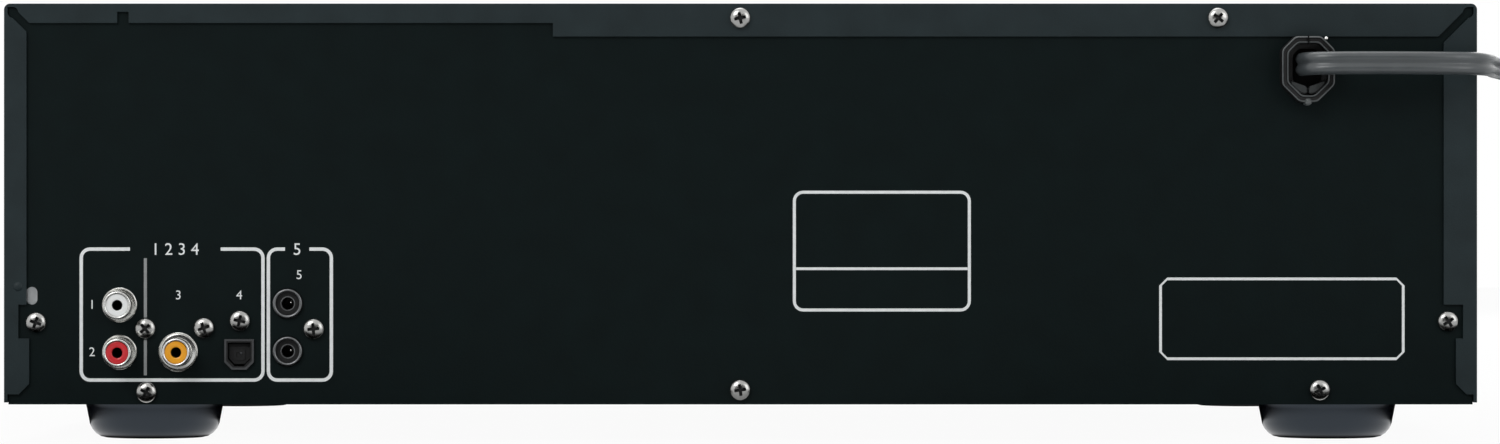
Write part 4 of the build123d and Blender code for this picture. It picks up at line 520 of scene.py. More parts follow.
# %% The seats of all the screws
cover_screws = [(0.1, 125.1), (-141.0, 125.1)]
panel_screws = [(208.1, 35.2), (-209.0, 35.5), (0.1, 15.3), (175.5, 14.6), (-171.1, 15.3)]
socket_screws = [(175.8, 33.4), (158.5, 33.6), (147.9, 35.7), (126.1, 33.3)]
cover_sheet = 1.0
case_half_width = 217.5
side_screw_height = 25
side_screw_rows = (-120.0, 140.0)
foot_recess_depth = 8
feet_places = [(x, y) for x in (-foot_x, foot_x) for y in (front_foot_y, rear_foot_y)]
screw_seats = [rear_seat(x, z, cover_sheet) for x, z in cover_screws]
screw_seats += [rear_seat(x, z) for x, z in panel_screws + socket_screws]
for side in (1, -1):
    for y in side_screw_rows:
        outward = Matrix.Rotation(math.radians(90 * side), 4, "Y")
        spot = Matrix.Translation((case_half_width * MM * side, y * MM, side_screw_height * MM))
        screw_seats.append(spot @ outward)
for x, y in feet_places:
    spot = Matrix.Translation((x * MM, y * MM, foot_recess_depth * MM))
    screw_seats.append(spot @ Matrix.Rotation(math.pi, 4, "X"))
driver_turns = [12, 50, 71, 33, 8, 62, 25, 40, 20, 77, 5, 30, 66, 15, 48, 81, 58, 22, 37]
print(len(screw_seats), "seats")

# %% A copy of the screw in each seat
screws = bmesh.new()
for seat, driver_turn in zip(screw_seats, driver_turns):
    one = bmesh.new()
    one.from_mesh(screw_mesh)
    one.transform(seat @ Matrix.Rotation(math.radians(driver_turn), 4, "Z"))
    spare = bpy.data.meshes.new("spare_screw")
    one.to_mesh(spare)
    one.free()
    screws.from_mesh(spare)
    bpy.data.meshes.remove(spare)
new_finish("screw_plating", *even((0.4, 0.4, 0.39), 0.08), (0.18, 0.28), 0.3, 0.1, 1.0, patch=1.5)
# Painted shade: the faces of the cross recess take this darker finish, for the shade inside it.
new_finish("recess_painted_shade", *even((0.035, 0.036, 0.037)), (0.4, 0.5), 0.3, 0.1, 0.6, patch=1.5)
pan_screws = keep("pan_head_screws", screws, "screw_plating")
pan_screws.data.materials.append(finishes["recess_painted_shade"])
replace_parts(pan_screws, "case_screws")
print(len(screw_seats), "screws placed")

# %% [markdown]
# ## Phono sockets
# Each socket is a drawn metal shell: a barrel with a rolled lip, a thin groove and a dished base
# that lies on the panel. Inside sits a coloured insulator with a hole for the pin. White and
# red are the two channels and orange is the digital one, so the colours are kept.

# %% The metal shells
phono_left = (183.4, 40.4)
phono_right = (183.4, 26.4)
coaxial = (166.1, 26.5)
phono_base = 5.15
coaxial_base = 5.8


def shell_profile(base):
    """Closed section of one shell with a dished base of the given radius."""
    return [(3.32, -6.0), (3.32, 8.25), (3.45, 8.42), (3.68, 8.5), (3.9, 8.47), (4.08, 8.32), (4.15, 8.1),
            (4.15, 2.7), (4.02, 2.45), (4.02, 1.2), (4.12, 0.75), (4.35, 0.5), (base - 0.75, 0.42),
            (base - 0.45, 0.62), (base - 0.3, 1.1), (base - 0.12, 1.2), (base, 1.08), (base, 0.0),
            (4.15, -0.02), (4.15, -6.0)]


shells = bmesh.new()
for place, base in ((phono_left, phono_base), (phono_right, phono_base), (coaxial, coaxial_base)):
    turned(shells, shell_profile(base), rear_seat(*place), steps=56, closed=True)
socket_shells = keep("socket_shells", shells, "nickel")
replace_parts(socket_shells, "socket_barrels")
print("3 shells")

# %% Insulators and painted shade in their pin holes
insulator_profile = [(0, -4.0), (1.55, -4.0), (1.55, 7.8), (1.63, 8.0), (1.85, 8.12), (3.0, 8.2),
                     (3.22, 8.12), (3.28, 7.9), (3.28, -6.0), (0, -6.0)]
# Painted shade: a near-black cup lines each pin hole, where the inside of the hole is dark.
hole_shade_profile = [(0, -3.9), (1.53, -3.9), (1.53, 7.2), (1.35, 7.0), (1.3, -3.5), (0, -3.5)]
new_finish("painted_shade_black", *even((0.0016, 0.0017, 0.0018)), (0.7, 0.8), 0.6, 0.2, gloss=0.1)
hole_shades = bmesh.new()
for name, place in (("white", phono_left), ("red", phono_right), ("orange", coaxial)):
    core = bmesh.new()
    turned(core, insulator_profile, rear_seat(*place), steps=48)
    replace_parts(keep(name + "_core", core, name + "_plastic"), name + "_insulator")
    turned(hole_shades, hole_shade_profile, rear_seat(*place))
keep("pin_hole_shades", hole_shades, "painted_shade_black")
print("3 insulators, 3 contacts")

# %% [markdown]
# ## Small jacks and the optical socket
# The two control jacks show a rounded rim round a dark cup, and a metal bush at the bottom. The
# solids have the cup, so only the rim and the bush are added. The optical socket has a thin raised
# frame whose lower corners are cut; its lighter grey is a painted highlight along the edge of the black
# nose. A moulded step on its sprung shutter catches the light, and a small lighter catch on it is a painted
# glint.

# %% Rims, bushes and springs of the jacks
control_jacks = ((133.8, 40.8), (133.8, 26.7))
new_finish("dull_nickel", *even((0.17, 0.175, 0.18)), (0.28, 0.4), 0.3, 0.1, 1.0, patch=2.0)
rims = bmesh.new()
bushes = bmesh.new()
rim_profile = [(3.42, -0.25), (3.42, 0.95), (3.5, 1.2), (3.72, 1.36), (4.0, 1.4), (4.25, 1.28), (4.37, 1.05),
               (4.37, 0.02), (4.3, 0.0), (3.6, 0.0)]
bush_profile = [(1.82, -2.4), (1.82, -0.42), (1.9, -0.3), (2.15, -0.27), (2.25, -0.36), (2.28, -0.5),
                (2.3, -2.4)]
spring_profile = [(0, -1.6), (0.5, -1.5), (0.62, -0.6), (0.5, 0.1), (0.28, 0.4), (0, 0.5)]
for place in control_jacks:
    turned(rims, rim_profile, rear_seat(*place), steps=48, closed=True)
    turned(bushes, bush_profile, rear_seat(*place), steps=32, closed=True)
keep("control_jack_rims", rims, "dull_nickel")
keep("control_jack_bushes", bushes, "dull_nickel")
glints = bmesh.new()
spring_place = Matrix.Translation((0.9 * MM, 0.3 * MM, -1.6 * MM))
for place in control_jacks:
    turned(glints, spring_profile, rear_seat(*place) @ spring_place, steps=16)
keep("jack_springs", glints, "nickel")
print(len(control_jacks), "jacks dressed")

# %% Frame of the optical socket
def wall_between(shape, outer, inner, seat, low, high):
    """Raised wall between two outlines of the same count, from height low to high in mm."""
    sides = ((outer, high), (inner, high), (inner, low), (outer, low))
    bands_round(shape, [loop_at(shape, seat, outline, height) for outline, height in sides])


def keyed_square(half_width, half_height, cut):
    """Square outline with its two lower corners cut."""
    return [(half_width, half_height), (-half_width, half_height), (-half_width, cut - half_height),
            (cut - half_width, -half_height), (half_width - cut, -half_height),
            (half_width, cut - half_height)]


optical = (148.1, 25.8)
optical_frame = bmesh.new()
# Painted highlight: the frame's lighter grey stands for the light along the edge of the black nose.
wall_between(optical_frame, keyed_square(4.35, 4.5, 2.2), keyed_square(3.75, 3.9, 1.95),
             rear_seat(*optical), 0.0, 1.0)
keep("optical_frame", optical_frame, "grey_plastic")
print("optical frame")

# %% Step and catch on the sprung shutter
shutter_depth = 1.6
step_drop = 0.2
shutter_seat = Matrix.Translation((0, -shutter_depth * MM, 0)) @ rear_seat(*optical)
shutter_step = bmesh.new()
wall_between(shutter_step, keyed_square(1.7, 1.6, 0.6), keyed_square(0.9, 0.8, 0.3),
             Matrix.Translation((0, 0, -step_drop * MM)) @ shutter_seat, 0.3, 0.75)
keep("shutter_step", shutter_step, "black_plastic", body="optical_shutter")
# Painted glint: the catch is a small lighter grey dome standing for a glint on the shutter.
catch = bmesh.new()
turned(catch, [(0, 0.3), (0.5, 0.3), (0.48, 0.6), (0.3, 0.72), (0, 0.76)],
       shutter_seat @ Matrix.Translation((0.5 * MM, 0.4 * MM, 0)), steps=16)
keep("shutter_catch_glint", catch, "grey_plastic", body="optical_shutter")
print("both ride on the shutter")

# %% [markdown]
# ## Printing on the rear panel
# White screen printing frames the two groups of sockets and two empty fields. Ink could be
# a mask in the paint, but a real layer a few hundredths of a millimetre thick keeps its clean edge
# in any close view. The groups and their sockets get plain numbers.

# %% Outlines and closed frame lines
INK = 0.06
panel_seat = rear_seat(0, 0)


def round_corners(low, high, radius, steps=6):
    """Outline of a rectangle with round corners, counter-clockwise, in mm."""
    (x0, z0), (x1, z1) = low, high
    outline = []
    for cx, cz, start in ((x1 - radius, z1 - radius, 0), (x0 + radius, z1 - radius, 90),
                          (x0 + radius, z0 + radius, 180), (x1 - radius, z0 + radius, 270)):
        for i in range(steps + 1):
            angle = math.radians(start + 90 * i / steps)
            outline.append((cx + radius * math.cos(angle), cz + radius * math.sin(angle)))
    return outline


def ink_frame(shape, left, right, top, bottom, radius, line=1.0, steps=6):
    """Frame line of a printed box, given by its middle line as seen from behind."""
    half = line / 2
    low, high = (-left, bottom), (-right, top)
    outer, inner = (round_corners((low[0] - grow, low[1] - grow), (high[0] + grow, high[1] + grow),
                                  radius + grow, steps) for grow in (half, -half))
    wall_between(shape, outer, inner, panel_seat, 0.0, INK)


def flat_shape(shape, outline, seat, low, high):
    """Solid plate with a given outline, from height low to high in mm."""
    rings = [loop_at(shape, seat, outline, height) for height in (low, high)]
    shape.faces.new(rings[0])
    shape.faces.new(rings[1])
    band(shape, *rings)


def ink_bar(shape, left, right, top, bottom):
    """Solid printed bar between two corners."""
    corners = [(-left, bottom), (-right, bottom), (-right, top), (-left, top)]
    flat_shape(shape, corners, panel_seat, 0.0, INK)


print("ink layer", INK, "mm")

# %% [markdown]
# ## A frame line that stays open
# Two of the frames leave a gap in their top run, with a number in it. A Boolean could cut the gap,
# but it is simpler to lay the line along a path that starts and ends there: a small rectangle stands
# across the path at each of its points, and the bands between the rectangles are the line.

# %% A frame line with a gap
def open_frame(shape, left, right, top, bottom, radius, gap, line=1.0, steps=6):
    """Frame line with a gap in its top run, between two X values, for a number."""
    half = line / 2
    middle = round_corners((-left, bottom), (-right, top), radius, steps)
    start, end = -gap[0], -gap[1]
    spine = [(start, top)] + middle[steps + 1:] + middle[:steps + 1] + [(end, top)]
    sides = []
    for i, here in enumerate(spine):
        before = Vector(spine[max(i - 1, 0)])
        after = Vector(spine[min(i + 1, len(spine) - 1)])
        run = (after - before).normalized()
        out = Vector((run.y, -run.x)) * half
        sides.append(((here[0] + out.x, here[1] + out.y), (here[0] - out.x, here[1] - out.y)))
    quads = [[shape.verts.new(panel_seat @ Vector((x * MM, z * MM, height * MM))) for (x, z), height in
              ((outer, 0.0), (outer, INK), (inner, INK), (inner, 0.0))] for outer, inner in sides]
    for first, second in zip(quads, quads[1:]):
        band(shape, first, second)
    shape.faces.new(quads[0])
    shape.faces.new(quads[-1])


print("open frames ready")

# %% All the frames and the divider
# Left and right X, then top and bottom Z, of each frame's middle line in mm
left_group = (194.8, 141.1, 56.9, 18.2)
right_group = (139.5, 120.9, 56.9, 18.2)
upper_field = (-15.9, -67.6, 73.7, 38.9)
lower_field = (-124.1, -195.8, 48.1, 24.5)
divider_sides = (176.3, 175.4)
ink = bmesh.new()
open_frame(ink, *left_group, radius=2.6, gap=(180.4, 153.6))
open_frame(ink, *right_group, radius=2.6, gap=(134.6, 127.4))
ink_frame(ink, *upper_field, radius=2.6, line=0.9)
ink_frame(ink, *lower_field, radius=2.0, line=0.8, steps=1)
ink_bar(ink, -16.4, -67.1, 51.5, 50.7)
keep("printed_frames", ink, "print_white")
divider = bmesh.new()
for top, bottom in ((54.2, 36.7), (30.1, 19.6)):
    ink_bar(divider, *divider_sides, top, bottom)
new_finish("print_grey", *even((0.27, 0.28, 0.28), 0.06), (0.5, 0.6), 0.3, 0.15, patch=1.5)
keep("printed_divider", divider, "print_grey")
print("4 frames and a divider")

# %% [markdown]
# ## Plain numbers
# A text curve is the quickest way to a clean numeral. It is given the thickness of the ink and turned
# into a mesh at once, so that it rides on its body like any other piece.

# %% Numbers by the sockets
def number(name, text, place, size, seat, finish="print_white", body="cabinet"):
    """Plain printed characters, as a thin mesh on a seat, centred at a place in mm."""
    curve = bpy.data.curves.new(name, "FONT")
    curve.body = text
    curve.size = size * MM
    curve.align_x = "CENTER"
    curve.align_y = "CENTER"
    curve.extrude = INK / 2 * MM
    curve.resolution_u = 4
    plain = bpy.data.objects.new(name, curve)
    bpy.context.collection.objects.link(plain)
    bpy.context.view_layer.update()
    mesh = bpy.data.meshes.new_from_object(plain.evaluated_get(bpy.context.evaluated_depsgraph_get()))
    bpy.data.objects.remove(plain)
    mesh.transform(seat @ Matrix.Translation((place[0] * MM, place[1] * MM, INK / 2 * MM)))
    piece = bpy.data.objects.new(name, mesh)
    bpy.context.collection.objects.link(piece)
    mesh.materials.clear()
    dress(piece, finish)
    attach(piece, body)
    return piece


socket_numbers = [("1", 191.6, 40.4), ("2", 191.6, 26.4), ("3", 166.1, 43.2), ("4", 148.1, 43.2),
                  ("5", 130.4, 49.2)]
group_numbers = [("1", "1 2 3 4", 167.0), ("5", "5", 131.0)]
socket_letter = 3.8
group_letter = 5.0
group_number_height = 56.7
for text, x, z in socket_numbers:
    number("socket_number_" + text, text, (-x, z), socket_letter, panel_seat)
for first, text, x in group_numbers:
    number("group_number_" + first, text, (-x, group_number_height), group_letter, panel_seat)
print(len(socket_numbers) + len(group_numbers), "printed numbers")

# %% [markdown]
# ## Feet
# The feet are glossy moulded plastic with a slightly narrower lower part and a rolled edge. The solid
# model has them already, but a turned profile with more points rounds the lower edge softly, so
# that the painted pool of light on the floor draws one smooth arch, a painted reflection, on each foot, as in
# the picture.

# %% Four turned feet
foot_profile = [(1.6, 8.0), (7.6, 8.0), (8.0, 7.7), (8.0, 0.3), (8.3, 0.05), (9.0, 0.0), (14.6, 0.0),
                (16.2, 0.35), (17.6, 1.2), (18.8, 2.6), (19.5, 4.2), (19.82, 5.9), (20.1, 7.2),
                (20.45, 9.0), (20.75, 10.2), (20.95, 10.75), (20.98, 10.95), (20.9, 11.0), (1.6, 11.0)]
feet = bmesh.new()
for x, y in feet_places:
    turned(feet, foot_profile, Matrix.Translation((x * MM, y * MM, 0)), steps=72, closed=True)
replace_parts(keep("glossy_feet", feet, "foot_plastic", sharp=50), "feet")
print(len(feet_places), "feet")

# %% [markdown]
# ## Cord bushing
# The cord leaves through a two-part plastic bushing pressed into the panel. Seen from behind it is an
# eight-sided ring with two raised edges, a dark band between them and two soft lips below the
# cord. A ring swept round its eight sides follows that shape in one step, and each edge is
# a little rounder than moulding would leave it. A lighter ring on each edge paints its thin light line: a
# painted highlight.

# %% Ring of the bushing
bushing_middle = (-167.2, 109.9)
bushing_seat = rear_seat(*bushing_middle)


def eight_sides(inset, steps=3):
    """Outline of the bushing moved in by inset mm, its corners rounded."""
    corner_shrink = 0.586
    rounding = 0.9
    half_width = 7.9 - inset
    half_height = 9.8 - inset
    high_cut = 4.0 - corner_shrink * inset
    low_cut = 5.2 - corner_shrink * inset
    corners = [(half_width, low_cut - half_height), (half_width, half_height - high_cut),
               (half_width - high_cut, half_height), (high_cut - half_width, half_height),
               (-half_width, half_height - high_cut), (-half_width, low_cut - half_height),
               (low_cut - half_width, -half_height), (half_width - low_cut, -half_height)]
    outline = []
    for i, corner in enumerate(corners):
        here = Vector(corner)
        before = (Vector(corners[i - 1]) - here).normalized()
        after = (Vector(corners[(i + 1) % 8]) - here).normalized()
        for k in range(steps + 1):
            share = k / steps
            point = here + before * rounding * (1 - share) ** 2 + after * rounding * share ** 2
            outline.append((point.x, point.y))
    return outline


def swept_ring(shape, section, seat):
    """Ring of loops from a closed list of (inset, height) pairs in mm."""
    bands_round(shape, [loop_at(shape, seat, eight_sides(inset), height) for inset, height in section])


ring_section = [(0.0, 0.02), (0.0, 6.3), (0.12, 6.75), (0.4, 7.0), (0.68, 6.8), (0.8, 6.3), (1.5, 6.2),
                (1.62, 6.55), (1.85, 6.75), (2.1, 6.55), (2.2, 6.1), (2.3, 2.55), (3.6, 2.5), (3.6, 0.02)]
neck_section = [(1.75, 0.0), (3.6, 0.0), (3.4, -8.9), (1.3, -8.9), (0.75, -1.3), (1.75, -1.2)]
bushing_ring = bmesh.new()
swept_ring(bushing_ring, ring_section, bushing_seat)
swept_ring(bushing_ring, neck_section, bushing_seat)
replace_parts(keep("bushing_ring", bushing_ring, "black_plastic"), "strain_relief")
print("ring and neck of the bushing")

# %% The two painted highlights on the ring's edges
# Painted highlight: thin rings along the two edges take a lighter finish for the light they catch.
new_finish("edge_painted_highlight", *even((0.085, 0.094, 0.096)), (0.32, 0.42), 0.4, 0.2, gloss=0.6, patch=2.0)
edges = bmesh.new()
swept_ring(edges, [(0.16, 6.8), (0.4, 7.03), (0.64, 6.82), (0.4, 6.7)], bushing_seat)
swept_ring(edges, [(1.64, 6.6), (1.85, 6.78), (2.06, 6.6), (1.85, 6.5)], bushing_seat)
keep("bushing_edges", edges, "edge_painted_highlight")
print("2 edges")

# %% Painted shade in the well and split line, and lips with a painted highlight
# Painted highlight: the lips are a lighter grey than the black ring, for the light they catch.
new_finish("lip_painted_highlight", *even((0.028, 0.032, 0.033)), (0.42, 0.55), 0.5, 0.3, gloss=0.4, patch=2.0)
# Painted shade: a near-black plug fills the well and a near-black bar marks the split line, where the bushing
# is dark inside.
void = bmesh.new()
flat_shape(void, eight_sides(3.5), bushing_seat, -8.8, 0.9)
flat_shape(void, [(-0.2, 7.4), (0.2, 7.4), (0.2, 9.83), (-0.2, 9.83)], bushing_seat, 5.4, 7.06)
keep("bushing_void", void, "painted_shade_black")
leaf = [(4.9, -3.3), (4.0, -4.1), (2.4, -4.7), (0.9, -4.9), (0.25, -5.1), (0.25, -7.2), (1.9, -7.1),
        (3.3, -6.2), (4.5, -5.0), (5.2, -4.0)]
lips = bmesh.new()
for side in (1, -1):
    flat_shape(lips, [(side * x, z) for x, z in leaf], bushing_seat, 1.0, 5.3)
long_edges = [edge for edge in lips.edges if edge.calc_length() > 0.2 * MM]
bmesh.ops.bevel(lips, geom=long_edges, offset=0.3 * MM, segments=2, affect="EDGES", clamp_overlap=True)
keep("bushing_lips", lips, "lip_painted_highlight")
print("well and lips")

# %% Nub below and metal peg above
nub = bmesh.new()
nub_seat = bushing_seat @ Matrix.Translation((0, -9.55 * MM, 0))
turned(nub, [(0, 0.0), (1.1, 0.0), (1.1, 6.2), (0.95, 6.6), (0.6, 6.9), (0, 7.05)], nub_seat, steps=24)
# Painted highlight: the nub takes the same lighter finish as the edges.
keep("bushing_nub", nub, "edge_painted_highlight")
peg = bmesh.new()
peg_seat = bushing_seat @ Matrix.Translation((5.25 * MM, 9.05 * MM, 0))
turned(peg, [(0, 5.5), (0.62, 5.5), (0.62, 6.5), (0.5, 6.8), (0.25, 6.95), (0, 7.0)], peg_seat, steps=20)
keep("bushing_peg", peg, "nickel")
print("bushing dressed")

# %% [markdown]
# ## Mains cord
# The cord is two insulated wires moulded side by side, so it looks like a figure eight from its end.
# A bevelled curve would do, but its section turns as it likes round a bend. So the spline gives
# only the middle line, and the section is carried along it with the two wires one above the
# other, as they lie against the panel and in the coil. The lead's points are the solid model's.

# %% The cord's measures and a half turn
lead_points = [(-165.5, 210.5, 111.4), (-165.5, 217.6, 111.4), (-170.6, 222.4, 111.5), (-184.0, 222.7, 111.6),
               (-206.0, 222.4, 111.5), (-217.0, 219.5, 111.4), (-221.6, 209.0, 111.3), (-223.2, 196.0, 111.2),
               (-228.0, 182.0, 111.0), (-239.5, 171.5, 107.0), (-252.5, 167.0, 92.0), (-260.5, 168.0, 71.0),
               (-264.5, 172.5, 49.0), (-264.5, 175.0, 28.0), (-262.0, 169.5, 12.0), (-258.4, 156.0, 4.6),
               (-258.0, 143.0, 3.45), (-258.0, 131.8, 3.45)]
coil_y = 125.0
coil_start = -258.0
floor_level = 3.45
upper_level = 10.85
ring_radii = [50.0, 46.35, 42.7, 39.05, 35.4]
climb_radius = 31.75
points_per_half = 8
cord_tail = 34.0


def half_turn(start, side, heading, radius, low, high):
    """Control points of one half turn from a start X on the coil's middle line."""
    made = []
    middle = start + side * radius
    reach = radius / math.cos(math.pi / (2 * points_per_half))
    for k in range(points_per_half):
        angle = math.pi * (k + 0.5) / points_per_half
        rise = low + (high - low) * (k + 0.5) / points_per_half
        made.append((middle - side * reach * math.cos(angle),
                     coil_y + heading * reach * math.sin(angle), rise))
    return made


print(len(lead_points), "points of the lead")

# %% Half turns of the coil, then the tail
route = list(lead_points)
start = coil_start
side = -1
heading = -1
turns = [(radius, floor_level, floor_level) for radius in ring_radii]
turns.append((climb_radius, floor_level, upper_level))
turns += [(radius, upper_level, upper_level) for radius in reversed(ring_radii)]
for radius, low, high in turns:
    route += half_turn(start, side, heading, radius, low, high)
    start += side * 2 * radius
    side = -side
    heading = -heading
route += [(start, coil_y + heading * cord_tail * share, upper_level) for share in (0.2, 0.6, 1.0)]
print(len(turns), "half turns,", len(route), "control points")

# %% [markdown]
# ## From control points to a path
# The control points go into a NURBS spline, whose even bends suit a stiff cord. The smooth line is
# then read back as points, because the skin needs a direction at each of them.

# %% The spline and its path
cord_curve = bpy.data.curves.new("cord_line", "CURVE")
cord_curve.dimensions = "3D"
cord_curve.resolution_u = 6
cord_spline = cord_curve.splines.new("NURBS")
cord_spline.points.add(len(route) - 1)
for point, place in zip(cord_spline.points, route):
    point.co = (place[0] * MM, place[1] * MM, place[2] * MM, 1)
cord_spline.order_u = 3
cord_spline.use_endpoint_u = True
cord_line = bpy.data.objects.new("cord_line", cord_curve)
bpy.context.collection.objects.link(cord_line)
bpy.context.view_layer.update()
line_mesh = bpy.data.meshes.new_from_object(cord_line.evaluated_get(bpy.context.evaluated_depsgraph_get()))
cord_path = [v.co.copy() for v in line_mesh.vertices]
bpy.data.objects.remove(cord_line)

# %% [markdown]
# ## The section and its upright
# The section is two round wires with a web between them. Its upright is carried along the path: at
# each step the last one is made square to the line's new direction. On the way down it is also
# turned, a little more at each step, so that the cord lands with one wire above the other.

# %% Section of the two wires
wire_radius = 1.8
wire_offset = 1.6
web_angle = 50
wire_points = 14
section = []
for end in (1, -1):
    for k in range(wire_points):
        angle = math.radians(-web_angle + (180 + 2 * web_angle) * k / (wire_points - 1))
        section.append((end * wire_radius * math.cos(angle),
                        end * (wire_offset + wire_radius * math.sin(angle))))
print(len(section), "points round the two wires")

# %% The section's upright along the line
along = [(b - a).normalized() for a, b in zip(cord_path, cord_path[1:])]
along.append(along[-1])
tangents = [along[0]] + [(a + b).normalized() for a, b in zip(along, along[1:])]
up = Vector((0, 0, 1))


def square_to(direction, tangent):
    """Part of a direction that is square to the tangent."""
    return (direction - tangent * direction.dot(tangent)).normalized()


twist_height = 100
landing = min(i for i, place in enumerate(cord_path) if place.z < (floor_level + 0.5) * MM)
carried = [square_to(up, tangents[0])]
for tangent in tangents[1:landing + 1]:
    carried.append(square_to(carried[-1], tangent))
upright = square_to(up, tangents[landing])
twist = math.atan2(carried[-1].cross(upright).dot(tangents[landing]), carried[-1].dot(upright))
first_drop = min(i for i, place in enumerate(cord_path) if place.z < twist_height * MM)
for i in range(landing + 1):
    share = min(max((i - first_drop) / (landing - first_drop), 0), 1)
    share = share * share * (3 - 2 * share)
    carried[i] = Matrix.Rotation(twist * share, 3, tangents[i]) @ carried[i]
carried += [square_to(up, tangent) for tangent in tangents[landing + 1:]]
print("twist", round(math.degrees(twist), 1), "degrees on the way down")

# %% The skin of the cord
cord_skin = bmesh.new()
rings = []
for place, tangent, tall in zip(cord_path, tangents, carried):
    wide = tangent.cross(tall)
    rings.append([cord_skin.verts.new(place + wide * x * MM + tall * z * MM) for x, z in section])
for first, second in zip(rings, rings[1:]):
    band(cord_skin, first, second)
cord_skin.faces.new(rings[0])
cord_skin.faces.new(rings[-1])
cord = keep("two_core_cord", cord_skin, "cord_rubber", sharp=60)
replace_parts(cord, "cord_lead", "cord_coil")
print(len(rings), "rings of", len(section), "points")

# %% [markdown]
# ## Plug
# The plug is out of the picture's view, so it is a plain two-blade one. Its neck has moulded ribs
# that let the cord bend. They could be cut into the plug, but the solid stays as it is,
# so a ribbed sleeve is added over its narrow end.

# %% Ribbed sleeve at the plug
plug_x = start
plug_y = coil_y + heading * cord_tail
plug_seat = (Matrix.Translation((plug_x * MM, plug_y * MM, upper_level * MM))
             @ Matrix.Rotation(-math.pi / 2, 4, "X"))
rib_pitch = 1.8
sleeve_profile = [(3.3, -11.0), (3.9, -11.0), (4.05, -10.6), (4.05, -9.6), (3.7, -9.2)]
for rib in range(5):
    low = -8.6 + rib * rib_pitch
    swell = 4.15 + 0.12 * rib
    groove = 3.75 + 0.1 * rib
    sleeve_profile += [(groove, low), (swell, low + 0.2), (swell, low + 1.0), (groove + 0.05, low + 1.25)]
sleeve_profile += [(4.3, 0.4), (3.3, 0.4)]
sleeve = bmesh.new()
turned(sleeve, sleeve_profile, plug_seat, steps=32, closed=True)
plug_sleeve = keep("plug_sleeve", sleeve, "cord_rubber")
print(len(sleeve_profile), "points on the sleeve's section")

# %% [markdown]
# ## The cord
# In the solid model the cord stands still, though it is really a flexible line from its exit in the
# bushing to a plug, with hard pieces hanging on its far end.

# %% [markdown]
# ## Front controls
# The front is not in the picture, so it is kept plain: numbers on the six disc buttons, the usual
# triangle, bars and square on the others, a ribbed dial and a knob with a pointer. The marks
# are thin printed shapes that ride on their buttons, so each goes in when it is pressed.

# %% Numbers on the disc buttons
front_face = -206.0


def front_seat(x, z, proud=0.0):
    """Seat on the front face at x, z in mm: its own Z looks out to the front."""
    turn = Matrix(((1, 0, 0, 0), (0, 0, -1, 0), (0, 1, 0, 0), (0, 0, 0, 1)))
    return Matrix.Translation((x * MM, (front_face - proud) * MM, z * MM)) @ turn


button_proud = 1.5
disc_pitch = 24.0
disc_row = 26.0
disc_letter = 4.4
for disc in range(1, 7):
    x = (disc - 3.5) * disc_pitch
    number("disc_number_" + str(disc), str(disc), (0, 0), disc_letter,
           front_seat(x, disc_row, button_proud), body="disc_" + str(disc) + "_button")
print("6 disc buttons numbered")

# %% Marks on the other buttons
def button_mark(button, x, z, outlines):
    """Thin printed shapes on one button."""
    mark = bmesh.new()
    for outline in outlines:
        flat_shape(mark, outline, front_seat(x, z, button_proud), 0.0, INK)
    keep(button + "_mark", mark, "print_white", body=button + "_button")


button_mark("play_pause", 94.0, 38.0, [[(-3.6, -1.5), (-0.6, 0), (-3.6, 1.5)],
                                       [(0.9, -1.5), (1.7, -1.5), (1.7, 1.5), (0.9, 1.5)],
                                       [(2.6, -1.5), (3.4, -1.5), (3.4, 1.5), (2.6, 1.5)]])
button_mark("stop", 118.0, 38.0, [[(-1.4, -1.4), (1.4, -1.4), (1.4, 1.4), (-1.4, 1.4)]])
button_mark("open_close", 118.0, 54.0, [[(-2.0, -0.5), (2.0, -0.5), (0, 1.7)],
                                        [(-2.0, -1.7), (2.0, -1.7), (2.0, -1.1), (-2.0, -1.1)]])
power_place = (-186.0, 54.0)
power_ring_radii = (1.7, 1.224)
power_ring = bmesh.new()
wall_between(power_ring, *(circle(radius, 24) for radius in power_ring_radii),
             front_seat(*power_place, button_proud), 0.0, INK)
keep("power_mark", power_ring, "print_white", body="power_button")
print("4 marks")

# %% [markdown]
# ## Dial and knob
# Fingers need ribs on a dial. A normal map would give them in the picture only, so the sleeve's points
# swing in and out as it goes round and real ribs stand on it. A bright band marks the dial's
# front edge, and a white line shows where the knob points.

# %% Ribs and band of the dial
def ribbed_sleeve(shape, seat, radius, ribs, depth, low, high):
    """Sleeve with rounded ribs round it, from height low to high in mm."""
    draft = math.tan(math.radians(2))
    wall = 0.6
    edge = 0.5
    steps = ribs * 6
    angles = [math.tau * i / steps for i in range(steps)]
    loops = []
    for height, swell, inset in ((low, 0, 0), (low + edge, 1, 0), (high - edge, 1, 0), (high, 0, 0),
                                 (high, 0, wall), (low, 0, wall)):
        outline = []
        for angle in angles:
            wave = 0.5 + 0.5 * math.cos(ribs * angle)
            reach = radius - draft * height - inset + swell * depth * wave
            outline.append((reach * math.cos(angle), reach * math.sin(angle)))
        loops.append(loop_at(shape, seat, outline, height))
    bands_round(shape, loops)


dial_seat = front_seat(163.0, 42.0)
dial_ribs = bmesh.new()
ribbed_sleeve(dial_ribs, dial_seat, radius=17.0, ribs=60, depth=0.35, low=1.2, high=8.6)
keep("dial_ribs", dial_ribs, "grey_plastic", body="jog_dial")
dial_band = bmesh.new()
turned(dial_band, [(15.1, 10.4), (15.1, 10.55), (15.3, 10.68), (15.6, 10.68), (15.75, 10.55), (15.75, 10.2)],
       dial_seat, steps=96, closed=True)
keep("dial_band", dial_band, "nickel", body="jog_dial")
print("dial dressed")

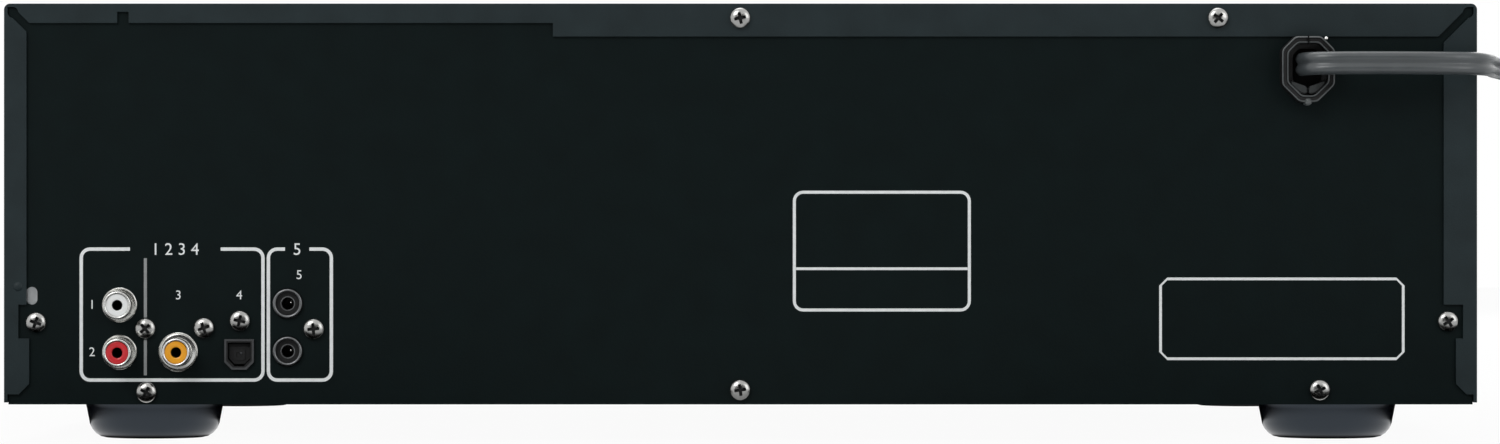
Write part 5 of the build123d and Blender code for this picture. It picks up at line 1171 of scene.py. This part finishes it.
# %% Ribs and pointer of the phones knob
knob_seat = front_seat(-158.0, 27.0)
knob_ribs = bmesh.new()
ribbed_sleeve(knob_ribs, knob_seat, radius=7.5, ribs=30, depth=0.3, low=1.0, high=6.6)
keep("knob_ribs", knob_ribs, "grey_plastic", body="phones_knob")
pointer = bmesh.new()
flat_shape(pointer, [(-0.35, 2.6), (0.35, 2.6), (0.35, 6.0), (-0.35, 6.0)], knob_seat, 7.9, 8.06)
keep("knob_pointer", pointer, "print_white", body="phones_knob")
print("knob dressed")

# %% [markdown]
# ## Display and standby light
# Behind the smoked window stands a dark display tube. Its figures could be a picture, but plain
# numbers cut as thin shapes stay sharp and need no image. They glow a little, pale blue-green,
# and the standby light is a small red dome, both at a plain level.

# %% Finishes and face of the display
new_finish("tube_glass", *even((0.004, 0.005, 0.005)), (0.08, 0.14), 0.8, 0.03)
new_finish("lit_figures", *even((0.25, 0.6, 0.55)), (0.4, 0.5), 0.4, 0.1, patch=2.0,
           Emission_Color=(0.35, 1.0, 0.85, 1), Emission_Strength=0.6)
new_finish("red_light", *even((0.5, 0.01, 0.01)), (0.15, 0.25), 0.4, 0.05, patch=2.0,
           Emission_Color=(1.0, 0.04, 0.03, 1), Emission_Strength=0.5)
tube_setback = 21.4
tube_height = 51.0
tube_half = (59.4, 8.4)
face_thickness = 0.5
tube_seat = front_seat(0.0, tube_height, -tube_setback)
tube_face = bmesh.new()
face_outline = round_corners((-tube_half[0], -tube_half[1]), tube_half, 1.2)
flat_shape(tube_face, face_outline, tube_seat, 0.0, face_thickness)
keep("display_face", tube_face, "tube_glass")
print("display face")

# %% Figures and the standby light
figure_start = -56.0
figure_pitch = 8.0
figure_size = 5.0
count_place = (30.0, 0)
count_size = 10.0
figure_seat = tube_seat @ Matrix.Translation((0, 0, face_thickness * MM))
for disc in range(1, 7):
    number("display_disc_" + str(disc), str(disc), (figure_start + figure_pitch * disc, 0), figure_size,
           figure_seat, finish="lit_figures")
number("display_count", "12:34", count_place, count_size, figure_seat, finish="lit_figures")
standby = bmesh.new()
turned(standby, [(0, 0), (1.3, 0), (1.3, 0.3), (1.1, 0.85), (0.6, 1.2), (0, 1.3)],
       front_seat(-170.0, 54.0), steps=28)
keep("standby_light", standby, "red_light")
print("7 lit figures and the light")

# %% [markdown]
# ## Numbers on the carousel
# Each of the six pockets has its number moulded and painted near the hub, so that the drawer
# can be loaded in order. The numbers ride on the carousel and turn with it.

# %% Pocket numbers
carousel_middle = (0.0, 15.0, 89.5)
number_ring = 56.0
pocket_letter = 8.0
carousel_seat = Matrix.Translation([measure * MM for measure in carousel_middle])
for pocket in range(6):
    turn = Matrix.Rotation(math.radians(-60 * pocket), 4, "Z")
    seat = carousel_seat @ turn @ Matrix.Translation((0, number_ring * MM, 0))
    number("pocket_number_" + str(pocket + 1), str(pocket + 1), (0, 0), pocket_letter, seat, body="carousel")
print("6 pocket numbers")

# %% [markdown]
# ## A dimple in the cover
# Beside the left flange's notch a shallow bump is pressed out of the sheet. It could be sculpted in
# the flange, but the solid keeps its shape, so it is a small turned dome in the cover's own paint.

# %% The dimple
dimple = bmesh.new()
turned(dimple, [(0, 0), (1.4, 0), (1.2, 0.18), (0.8, 0.38), (0, 0.45)],
       rear_seat(213.4, 45.8, cover_sheet), steps=24)
keep("flange_dimple", dimple, "cover_paint")
print("flange dimple")
